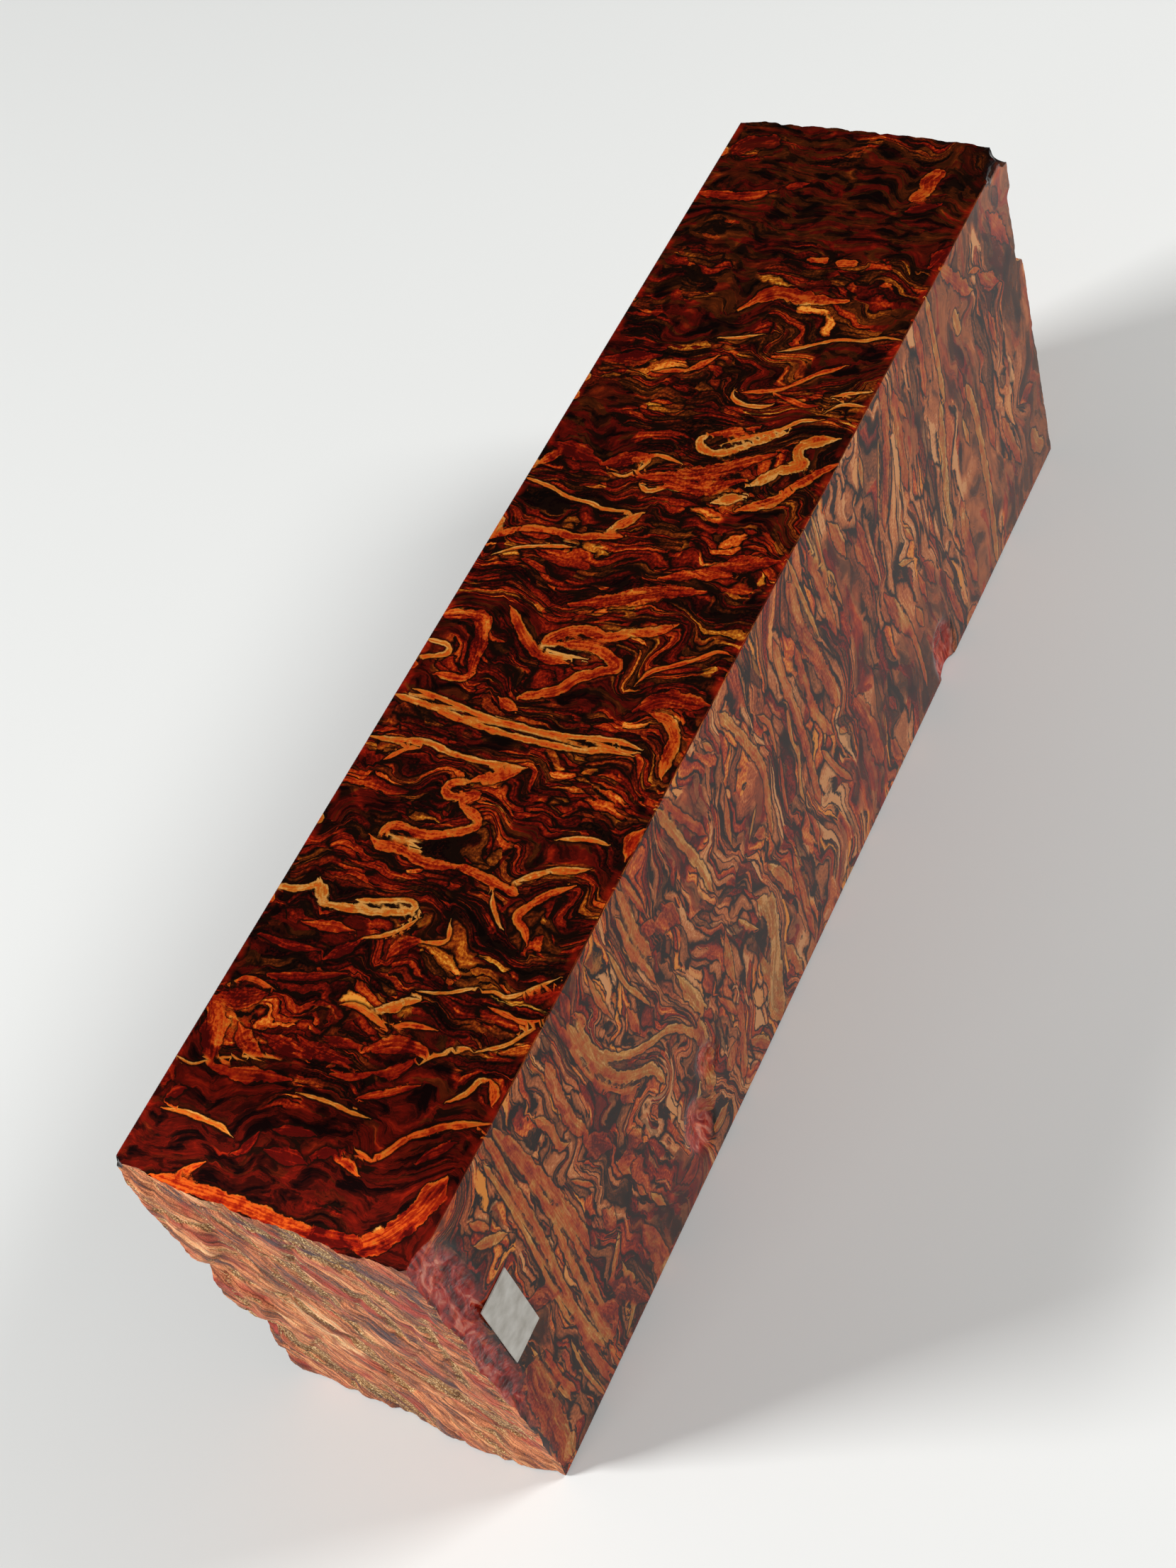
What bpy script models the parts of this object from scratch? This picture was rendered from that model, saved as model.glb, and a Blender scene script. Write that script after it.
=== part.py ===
"""A stabilized wood resin block: plant scales packed in dyed and clear resin, sawn and polished on its long
faces and left rough at both ends, with a small blank paper slip stuck on one long face.

The block stands on a narrow long face. X runs along it, -X is the end with the slip, -Y is the face that
carries the slip, +Z is up, and the origin is the middle of the underside. Blender units are metres.
"""

import math

import bmesh
import bpy
from mathutils import Vector, noise

MM = 0.001

# The sawn block
LENGTH = 130 * MM
WIDTH = 30 * MM
HEIGHT = 45 * MM

# The rough ends. A scale is one plant scale seen face-on.
END_BAND = 2.5 * MM
END_CUTS = 31
SCALE_WIDTH = 5 * MM
SCALE_HEIGHT = 8 * MM
SCALE_STEP = 0.24 * MM
SCALE_TILT = 0.16 * MM
GROOVE_DEPTH = 0.20 * MM
GROOVE_SHARE = 0.25
HEIGHT_SPREAD = 3.7
NEAR_END_SEED = 2.3
FAR_END_SEED = 7.8

# The paper slip. It keeps a gap to the face, as two solids that touch would share a face.
SLIP_WIDTH = 4.3 * MM
SLIP_HEIGHT = 10.5 * MM
SLIP_THICKNESS = 0.15 * MM
SLIP_GAP = 0.3 * MM
SLIP_FROM_END = 4.9 * MM
SLIP_MIDDLE_Z = 26.1 * MM

# Where an end stands out (+) or has lost scales (-), in mm: (y, z) of the middle, reach across and up, push
# along the block, and the share of the reach over which the edge slopes.
NEAR_END_LEDGES = (
    (-3, 45, 17, 9, 0.55, 0.9),
    (15, 34, 6, 9.5, 0.60, 0.3),
    (15, 18, 5, 5.5, 0.60, 0.3),
    (15, 11, 6, 2.5, -0.40, 0.5),
    (15, 4, 6, 5, 0.25, 0.6),
    (5, 0, 7, 5, 0.25, 0.8),
    (-6, 0, 9, 8, 0.75, 0.7),
)
FAR_END_LEDGES = (
    (0, 22, 40, 50, 0.80, 0.6),
    (-15, 35, 6, 5.3, -1.25, 0.2),
    (-15, 43, 5, 4, -0.40, 0.5),
    (15, 22, 2, 60, -0.50, 1.0),
    (-14, 5, 6, 6, 0.15, 0.5),
)

# Sunken places in the resin of the front face, in mm: (x, z) of the middle, half length along X and Z, depth.
FRONT_HOLLOWS = {
    "corner_upper": (-65.0, 37.0, 4.5, 11.0, 1.0),
    "corner_lower": (-65.0, 23.5, 2.7, 10.0, 0.9),
    "lower_right": (32.5, 3.0, 2.6, 4.6, 0.9),
    "lower_left": (-31.0, 7.0, 2.4, 4.5, 0.8),
    "lower_left_small": (-26.5, 12.5, 2.0, 2.4, 0.5),
}
HOLLOW_ROUNDING = 2.0

# Chips knocked off corners, in mm: the middle (x, y, z) and the radii of what is missing.
CORNER_CHIPS = {
    "far_front_tip": (65.6, -15.6, 45.6, 2.4, 2.2, 2.6),
    "far_front_edge": (62.3, -15.8, 45.5, 2.6, 1.5, 1.6),
    "near_back_tip": (-65.9, 15.3, 45.2, 1.5, 1.4, 1.6),
}
CUTTER_ROUGHNESS = 0.12
CUTTER_LUMPS = 1.6
FIRST_CHIP_SEED = 20


def clear_scene():
    for thing in list(bpy.data.objects):
        bpy.data.objects.remove(thing, do_unlink=True)


def new_collection(name):
    collection = bpy.data.collections.new(name)
    bpy.context.scene.collection.children.link(collection)
    return collection


def new_material(name, colour, roughness, coat=0.0):
    """A plain Principled material. The colour is linear RGB."""
    material = bpy.data.materials.new(name)
    material.use_nodes = True
    shader = material.node_tree.nodes["Principled BSDF"]
    shader.inputs["Base Color"].default_value = (*colour, 1.0)
    shader.inputs["Roughness"].default_value = roughness
    shader.inputs["Metallic"].default_value = 0.0
    shader.inputs["Coat Weight"].default_value = coat
    material.diffuse_color = (*colour, 1.0)
    return material


def object_from(name, mesh, collection):
    made = bpy.data.objects.new(name, mesh)
    collection.objects.link(made)
    return made


def box_mesh(name, size, middle):
    """A box of the given size, with its middle at the given point."""
    shape = bmesh.new()
    bmesh.ops.create_cube(shape, size=1.0)
    bmesh.ops.scale(shape, vec=Vector(size), verts=shape.verts)
    bmesh.ops.translate(shape, vec=Vector(middle), verts=shape.verts)
    mesh = bpy.data.meshes.new(name)
    shape.to_mesh(mesh)
    shape.free()
    return mesh


def ledge_push(ledge, y, z):
    """How far one ledge moves the end at (y, z). Its outline is an ellipse and its edge a slope."""
    middle_y, middle_z, across, up, push, slope = ledge
    away = math.hypot((y / MM - middle_y) / across, (z / MM - middle_z) / up)
    share = min(1.0, max(0.0, (1.0 - away) / slope))
    return push * MM * share * share * (3.0 - 2.0 * share)


def scale_relief(y, z, seed):
    """The scales lie like shingles: each has its own height and tips up towards its lower edge."""
    place = Vector((y / SCALE_WIDTH, z / SCALE_HEIGHT, seed))
    distances, middles = noise.voronoi(place, distance_metric="DISTANCE")
    step = noise.noise(middles[0] * HEIGHT_SPREAD) * SCALE_STEP
    tilt = (middles[0].y - place.y) * SCALE_TILT
    edge = min(1.0, (distances[1] - distances[0]) / GROOVE_SHARE)
    return step + tilt - GROOVE_DEPTH * (1.0 - edge)


def end_relief(ledges, seed, y, z):
    return sum(ledge_push(ledge, y, z) for ledge in ledges) + scale_relief(y, z, seed)


def split_across(shape, x):
    """Cuts every face that the plane at this X crosses."""
    everything = shape.verts[:] + shape.edges[:] + shape.faces[:]
    bmesh.ops.bisect_plane(shape, geom=everything, plane_co=(x, 0, 0), plane_no=(1, 0, 0))


def roughen_end(shape, side, ledges, seed):
    """Divides the end at +X (side 1) or -X (side -1) into facets and moves them along the block."""
    shape.faces.ensure_lookup_table()
    end = next(face for face in shape.faces if face.normal.x * side > 0.5)
    bmesh.ops.subdivide_edges(shape, edges=end.edges[:], cuts=END_CUTS, use_grid_fill=True)
    for vertex in shape.verts:
        if vertex.co.x * side > LENGTH / 2 - MM / 10:
            vertex.co.x += side * end_relief(ledges, seed, vertex.co.y, vertex.co.z)


def cutter(name, middle, radii, seed, collection):
    """A lumpy ellipsoid that takes a scoop out of the block. It is never shown."""
    shape = bmesh.new()
    bmesh.ops.create_icosphere(shape, subdivisions=3, radius=1.0)
    for vertex in shape.verts:
        lump = noise.noise(vertex.co * CUTTER_LUMPS + Vector((seed, 0, 0)))
        vertex.co *= 1.0 + CUTTER_ROUGHNESS * lump
    bmesh.ops.scale(shape, vec=Vector(radii) * MM, verts=shape.verts)
    bmesh.ops.translate(shape, vec=Vector(middle) * MM, verts=shape.verts)
    mesh = bpy.data.meshes.new(name)
    shape.to_mesh(mesh)
    shape.free()
    made = object_from(name, mesh, collection)
    made.hide_render = True
    made.display_type = "WIRE"
    return made


def hollow_cutter(name, hollow, seed, collection):
    """The ellipsoid whose cut in the front face has the hollow's half lengths and depth."""
    x, z, half_x, half_z, depth = hollow
    reach = HOLLOW_ROUNDING * depth
    spread = math.sqrt(1.0 - ((reach - depth) / reach) ** 2)
    middle = (x, -WIDTH / MM / 2 - (reach - depth), z)
    return cutter(name, middle, (half_x / spread, reach, half_z / spread), seed, collection)


def make_block(parts, cutters):
    mesh = box_mesh("block", (LENGTH, WIDTH, HEIGHT), (0, 0, HEIGHT / 2))
    shape = bmesh.new()
    shape.from_mesh(mesh)
    for side in (-1, 1):
        split_across(shape, side * (LENGTH / 2 - END_BAND))
    roughen_end(shape, -1, NEAR_END_LEDGES, NEAR_END_SEED)
    roughen_end(shape, 1, FAR_END_LEDGES, FAR_END_SEED)
    shape.to_mesh(mesh)
    shape.free()
    block = object_from("block", mesh, parts)
    scoops = [
        hollow_cutter(name, hollow, seed, cutters)
        for seed, (name, hollow) in enumerate(FRONT_HOLLOWS.items())
    ]
    scoops += [
        cutter(name, chip[:3], chip[3:], seed, cutters)
        for seed, (name, chip) in enumerate(CORNER_CHIPS.items(), FIRST_CHIP_SEED)
    ]
    for scoop in scoops:
        cut = block.modifiers.new(scoop.name, "BOOLEAN")
        cut.operation = "DIFFERENCE"
        cut.solver = "EXACT"
        cut.object = scoop
    mesh.materials.append(new_material("dyed_scales_in_polished_resin", (0.16, 0.03, 0.012), 0.12, coat=1.0))
    return block


def make_label(parts):
    middle = (
        -LENGTH / 2 + SLIP_FROM_END,
        -WIDTH / 2 - SLIP_GAP - SLIP_THICKNESS / 2,
        SLIP_MIDDLE_Z,
    )
    mesh = box_mesh("label", (SLIP_WIDTH, SLIP_THICKNESS, SLIP_HEIGHT), middle)
    label = object_from("label", mesh, parts)
    mesh.materials.append(new_material("white_paper", (0.68, 0.68, 0.66), 0.7))
    return label


def main():
    clear_scene()
    parts = new_collection("stabilized_wood_resin_block")
    cutters = new_collection("cutters")
    make_block(parts, cutters)
    make_label(parts)


main()
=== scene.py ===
"""Looks of the stabilized wood resin block: dyed plant scales in clear resin, polished on the long faces and
torn at both ends, with a small blank paper slip on one long face.

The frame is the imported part's: metres, X along the block, -X the end with the slip, -Y the broad face that
carries the slip, +Z up, origin in the middle of the underside. Places on the faces are written in mm.
"""

import math
import random

import bmesh
import bpy
import numpy as np
from mathutils import Matrix, Vector, noise


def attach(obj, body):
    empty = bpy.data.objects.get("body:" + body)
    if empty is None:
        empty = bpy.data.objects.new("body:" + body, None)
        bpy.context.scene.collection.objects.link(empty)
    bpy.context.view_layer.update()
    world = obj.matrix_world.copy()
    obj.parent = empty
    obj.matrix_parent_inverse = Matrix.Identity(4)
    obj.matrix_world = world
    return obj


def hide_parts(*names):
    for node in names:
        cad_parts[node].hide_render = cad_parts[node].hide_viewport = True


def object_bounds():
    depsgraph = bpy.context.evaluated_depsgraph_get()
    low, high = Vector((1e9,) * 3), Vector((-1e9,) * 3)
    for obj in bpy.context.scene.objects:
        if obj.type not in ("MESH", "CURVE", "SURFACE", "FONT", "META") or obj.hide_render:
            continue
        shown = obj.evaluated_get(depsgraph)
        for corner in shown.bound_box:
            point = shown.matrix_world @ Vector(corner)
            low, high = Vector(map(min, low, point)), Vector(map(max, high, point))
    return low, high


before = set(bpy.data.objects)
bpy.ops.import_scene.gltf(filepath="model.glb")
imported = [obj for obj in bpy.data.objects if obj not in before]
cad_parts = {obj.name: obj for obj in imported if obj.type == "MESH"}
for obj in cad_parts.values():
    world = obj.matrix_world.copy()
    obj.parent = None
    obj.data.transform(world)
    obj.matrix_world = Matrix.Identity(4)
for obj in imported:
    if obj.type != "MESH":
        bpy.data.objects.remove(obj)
cad_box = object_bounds()

MM = 0.001

# The sawn block, in mm
LENGTH = 130.0
WIDTH = 30.0
HEIGHT = 45.0
ARRIS_BREAK = 0.12

# The grid of faces that carries the figure, in mm: halved on the top and the front, quartered on the ends
GRID = 1.0

# A bend sharper than this, in degrees, is shown as an edge
SMOOTH_ANGLE = 40

# A direction lies along an axis above the first share of it, and square to it below the second
STRAIGHT = 0.9
SQUARE = 0.1

# A place this near a face, in mm, lies on it
ON_FACE = 0.01

# The rough ends, as in the solids. A scale is one plant scale seen face-on.
END_BAND = 2.5
SCALE_WIDTH = 5.0
SCALE_HEIGHT = 8.0
SCALE_STEP = 0.24
SCALE_TILT = 0.16
GROOVE_DEPTH = 0.20
GROOVE_SHARE = 0.25
TONE_SPREAD = 3.7
NEAR_END_SEED = 2.3
FAR_END_SEED = 7.8

# The torn scales lie in streaks across each end. Their direction and the one across them, as (y, z).
STREAK_ALONG = (-0.6, -0.8)
STREAK_ACROSS = (0.8, -0.6)

# Relief of the ends that is too fine for the solids, in mm: how far streaks, fibres and grains stand out,
# then how wide and long one is. Seams between scales waver by so much, and those drawn below are sunk.
STREAK_RELIEF = (0.15, 1.1, 11.0)
FIBRE_RELIEF = (0.07, 0.5, 3.5)
GRAIN_RELIEF = (0.07, 0.5)
WAVER = (0.9, 2.2, 3.0)
SEAM_DEPTH = 0.22
SEAM_SPACING = 0.3

# How much plain seams show, alone and then among drawn ones, and the torn scales' tone and its spread
PLAIN_SEAM = 0.75
PLAIN_SEAM_AMONG_DRAWN = 0.6
END_TONE = 0.55
END_TONE_RANGE = 0.5

# Where an end stands out (+) or has lost scales (-), in mm: (y, z) of the middle, reach across and up, push
# along the block, and the share of the reach over which the edge slopes.
NEAR_END_LEDGES = (
    (-3, 45, 17, 9, 0.55, 0.9),
    (15, 34, 6, 9.5, 0.60, 0.3),
    (15, 18, 5, 5.5, 0.60, 0.3),
    (15, 11, 6, 2.5, -0.40, 0.5),
    (15, 4, 6, 5, 0.25, 0.6),
    (5, 0, 7, 5, 0.25, 0.8),
    (-6, 0, 9, 8, 0.75, 0.7),
)
FAR_END_LEDGES = (
    (0, 22, 40, 50, 0.80, 0.6),
    (-15, 35, 6, 5.3, -1.25, 0.2),
    (-15, 43, 5, 4, -0.40, 0.5),
    (15, 22, 2, 60, -0.50, 1.0),
    (-14, 5, 6, 6, 0.15, 0.5),
)

# Sunken places in the resin of the front face, in mm: (x, z) of the middle, half length along X and Z,
# depth. Then how many depths such an ellipsoid reaches, how far into the block a hollow is felt, and the
# size and share of the lumps in it.
FRONT_HOLLOWS = (
    (-65.0, 37.0, 4.5, 11.0, 1.0),
    (-65.0, 23.5, 2.7, 10.0, 0.9),
    (32.5, 3.0, 2.6, 4.6, 0.9),
    (-31.0, 7.0, 2.4, 4.5, 0.8),
    (-26.5, 12.5, 2.0, 2.4, 0.5),
)
HOLLOW_ROUNDING = 2.0
HOLLOW_BAND = 3.0
HOLLOW_LUMPS = 1.3
HOLLOW_ROUGHNESS = 0.35

# Chips knocked off corners, in mm: the middle (x, y, z), the radii of what is missing, and the share of
# black in the resin that they bare. Then how rough a chip is, how closely its lumps stand, and how far apart
# in the noise the chips are taken.
CORNER_CHIPS = (
    (65.6, -15.6, 45.6, 2.4, 2.2, 2.6, 1.0),
    (62.3, -15.8, 45.5, 2.6, 1.5, 1.6, 1.0),
    (-65.9, 15.3, 45.2, 1.5, 1.4, 1.6, 0.4),
)
CHIP_ROUGHNESS = 0.12
CHIP_LUMPS = 3.2
NEXT_CHIP = 5

# The paper slip, in mm. Its cockles rise and fall by their height about a mean lift of the same height.
SLIP_WIDTH = 4.3
SLIP_HEIGHT = 10.5
SLIP_THICKNESS = 0.12
SLIP_FROM_END = 4.9
SLIP_MIDDLE_Z = 26.1
SLIP_LIFT = 0.06
SLIP_GRID = (18, 42)
COCKLE_SIZE = 2.2
COCKLE_HEIGHT = 0.03

# Sizes of the figure's patterns, in mm: the thickness and length of one plate, flake, sheet, growth line
# and so on. The third size of each is a little more than its length.
PLATES = (1.3, 6.0)
FLAKES = (0.65, 2.6)
SHEETS = (0.45, 8.0)
KIND_PLACES = (4.0, 8.0)
GROWTH_LINES = (0.2, 2.2)
LAYERS = (2.2, 12.0)
RESIN_POOLS = (1.2, 3.5)
CALM_PLACES = (6.0, 10.0)
WRINKLES = (1.3, 3.2)
BREADTH_TO_LENGTH = 1.15
MOTTLE_SIZE = 0.3
BLOTCH_SIZE = 1.5

# What buckles the scales, in mm: the size of a knot and of a tremor, and the push of each along X, Y and Z
KNOT_SIZE = 4.0
KNOT_REACH = (2.6, 4.5, 4.5)
TREMOR_SIZE = 0.55
TREMOR_REACH = (0.36, 0.5, 0.5)

# How packed scales sway where no ribbon bends them, in mm: how far, and the size of a sway along X, Y and Z
SLOW_SWAY = (3.4, (16, 11, 13))
QUICK_SWAY = (0.8, (5, 5, 6))
QUICK_SWAY_START = (9, 0, 0)

# Where along X, in mm, the front's figure turns calm and large, and where its tone is painted lighter:
# painted light that stands for the brighter light on its far half
FRONT_CALMS = (-8.0, 10.0)
FRONT_PAINTED_LIGHT = (-50.0, 5.0)

# Patterns of the torn ends, in mm, as those of the figure
TORN_KNOT_SIZE = 3.0
TORN_KNOT_REACH = (1.1, 2.0, 2.0)
TORN_TREMOR_SIZE = 0.4
TORN_TREMOR_REACH = (0.16, 0.4, 0.4)
TORN_PLATES = (1.2, 7.0)
TORN_SLIVERS = (0.55, 4.0)
TORN_FIBRES = (0.22, 3.0)
ROSY_STREAKS = (2.0, 6.0)
SOOT_STREAKS = (0.5, 7.0)
GRIT_SIZE = 0.16

# Patterns of the resin, in mm: patches of the painted red glow near arrises, clouds in unbuffed resin (their
# thickness and length), ripples of the polish, and lumps of unbuffed resin, which are so many times as high
PAINTED_GLOW_PATCH_SIZE = 2.5
RESIN_CLOUDS = (1.0, 2.6)
RIPPLE_SIZE = 9.0
LUMP_SIZE = 1.1
LUMP_TO_RIPPLE = 45.0

# Patterns of the paper, in mm
PAPER_CLOUD_SIZE = 1.5
PAPER_FIBRE_SIZE = 0.15

# The photo's camera: where it stands, where it looks and what is up in the picture
CAMERA_AT = Vector((-109.36, -99.70, 203.36)) * MM
CAMERA_LOOK = Vector((0.44279, 0.44994, -0.77556))
CAMERA_UP = Vector((0.78712, 0.21917, 0.57654))
FOCAL_PIXELS = 3298.4
PICTURE_HEIGHT = 2212
SENSOR = 36.0

# The lamps: name, place and size in metres, and watts
LAMPS = (
    ("lamp_beyond_the_near_end", (-0.45, 0.6, 0.62), 0.22, 8.0),
    ("lamp_in_front", (0.22, -0.3, 0.36), 0.14, 1.5),
    ("low_lamp_facing_the_near_end", (-0.5, 0.06, 0.14), 0.2, 0.42),
)

# The direction of the dark part of the room, which the top face mirrors, and how bright the room is
DARK_WALL = (0.47, 0.47, 0.745)
SKY_STRENGTH = 0.25

# The floor's size and how far it lies below the block, in metres
FLOOR_SIZE = 3.0
FLOOR_DROP = 0.0002

# Tones of the scales, from dark crimson to pale yellow, and a pool of black resin
TONES = tuple(step / 6 for step in range(7))
CRIMSON, RED, EMBER, ORANGE, TAN, YELLOW, PALE = TONES
POOL = -1.0

# Colours of the drawn ribbons for those tones, on the redder top and on the rusty front
TOP_RIBBON_COLOURS = ("#480806", "#7e1408", "#962609", "#c44c14", "#b25618", "#bc6c22", "#c88a44")
FRONT_RIBBON_COLOURS = ("#601208", "#92240c", "#a63c10", "#b2521c", "#b26628", "#b67c36", "#cc9656")

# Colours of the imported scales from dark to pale, and where on the scale of tones each stands
SCALE_TONES = (0.05, 0.25, 0.42, 0.56, 0.7, 0.85, 1.0)
RED_SCALES = ("#0c0404", "#2e0805", "#520c06", "#781608", "#9c2e0a", "#bc5214", "#d4802c")
BROWN_SCALES = ("#0a0504", "#240e05", "#421807", "#66290a", "#8c440e", "#b46a1a", "#d29a3c")
RUSTY_SCALES = ("#22120a", "#42200e", "#62341a", "#864622", "#a4562a", "#b66a3a", "#c98a56")

# How a ribbon narrows: over this share of its length at each end, and, but for a lens, over at most so many
# mm. A tip keeps this share of the squared width.
LENS = 0.5
LEAF = 0.3
BLUNT = 0.08
NARROWING = 1.8
TIP_SHARE = 0.04

# Ribbons, in mm: the spacing of their points, the share of the drawn half width that shows, how far off
# they are told, how far they bend the scales beside them, and how far apart two of their patterns start
RIBBON_SPACING = 0.15
RIBBON_SHARE = 0.86
RIBBON_REACH = 5.0
FLOW_REACH = 1.3
NEXT_PATTERN = 37.0

# The weight of the scales' own flow beside the ribbons' pull, and the half width told far from any ribbon
PLAIN_FLOW = 0.6
FAR_HALF_WIDTH = 0.3

# Patterns of the drawn ribbons, in mm: lobes of the edge, pinches along it, grain and long strands
LOBE_SIZE = 0.7
PINCH_LENGTH = 2.2
RIBBON_GRAIN = (0.7, 0.9)
RIBBON_STRANDS = (4.0, 0.24)

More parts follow.
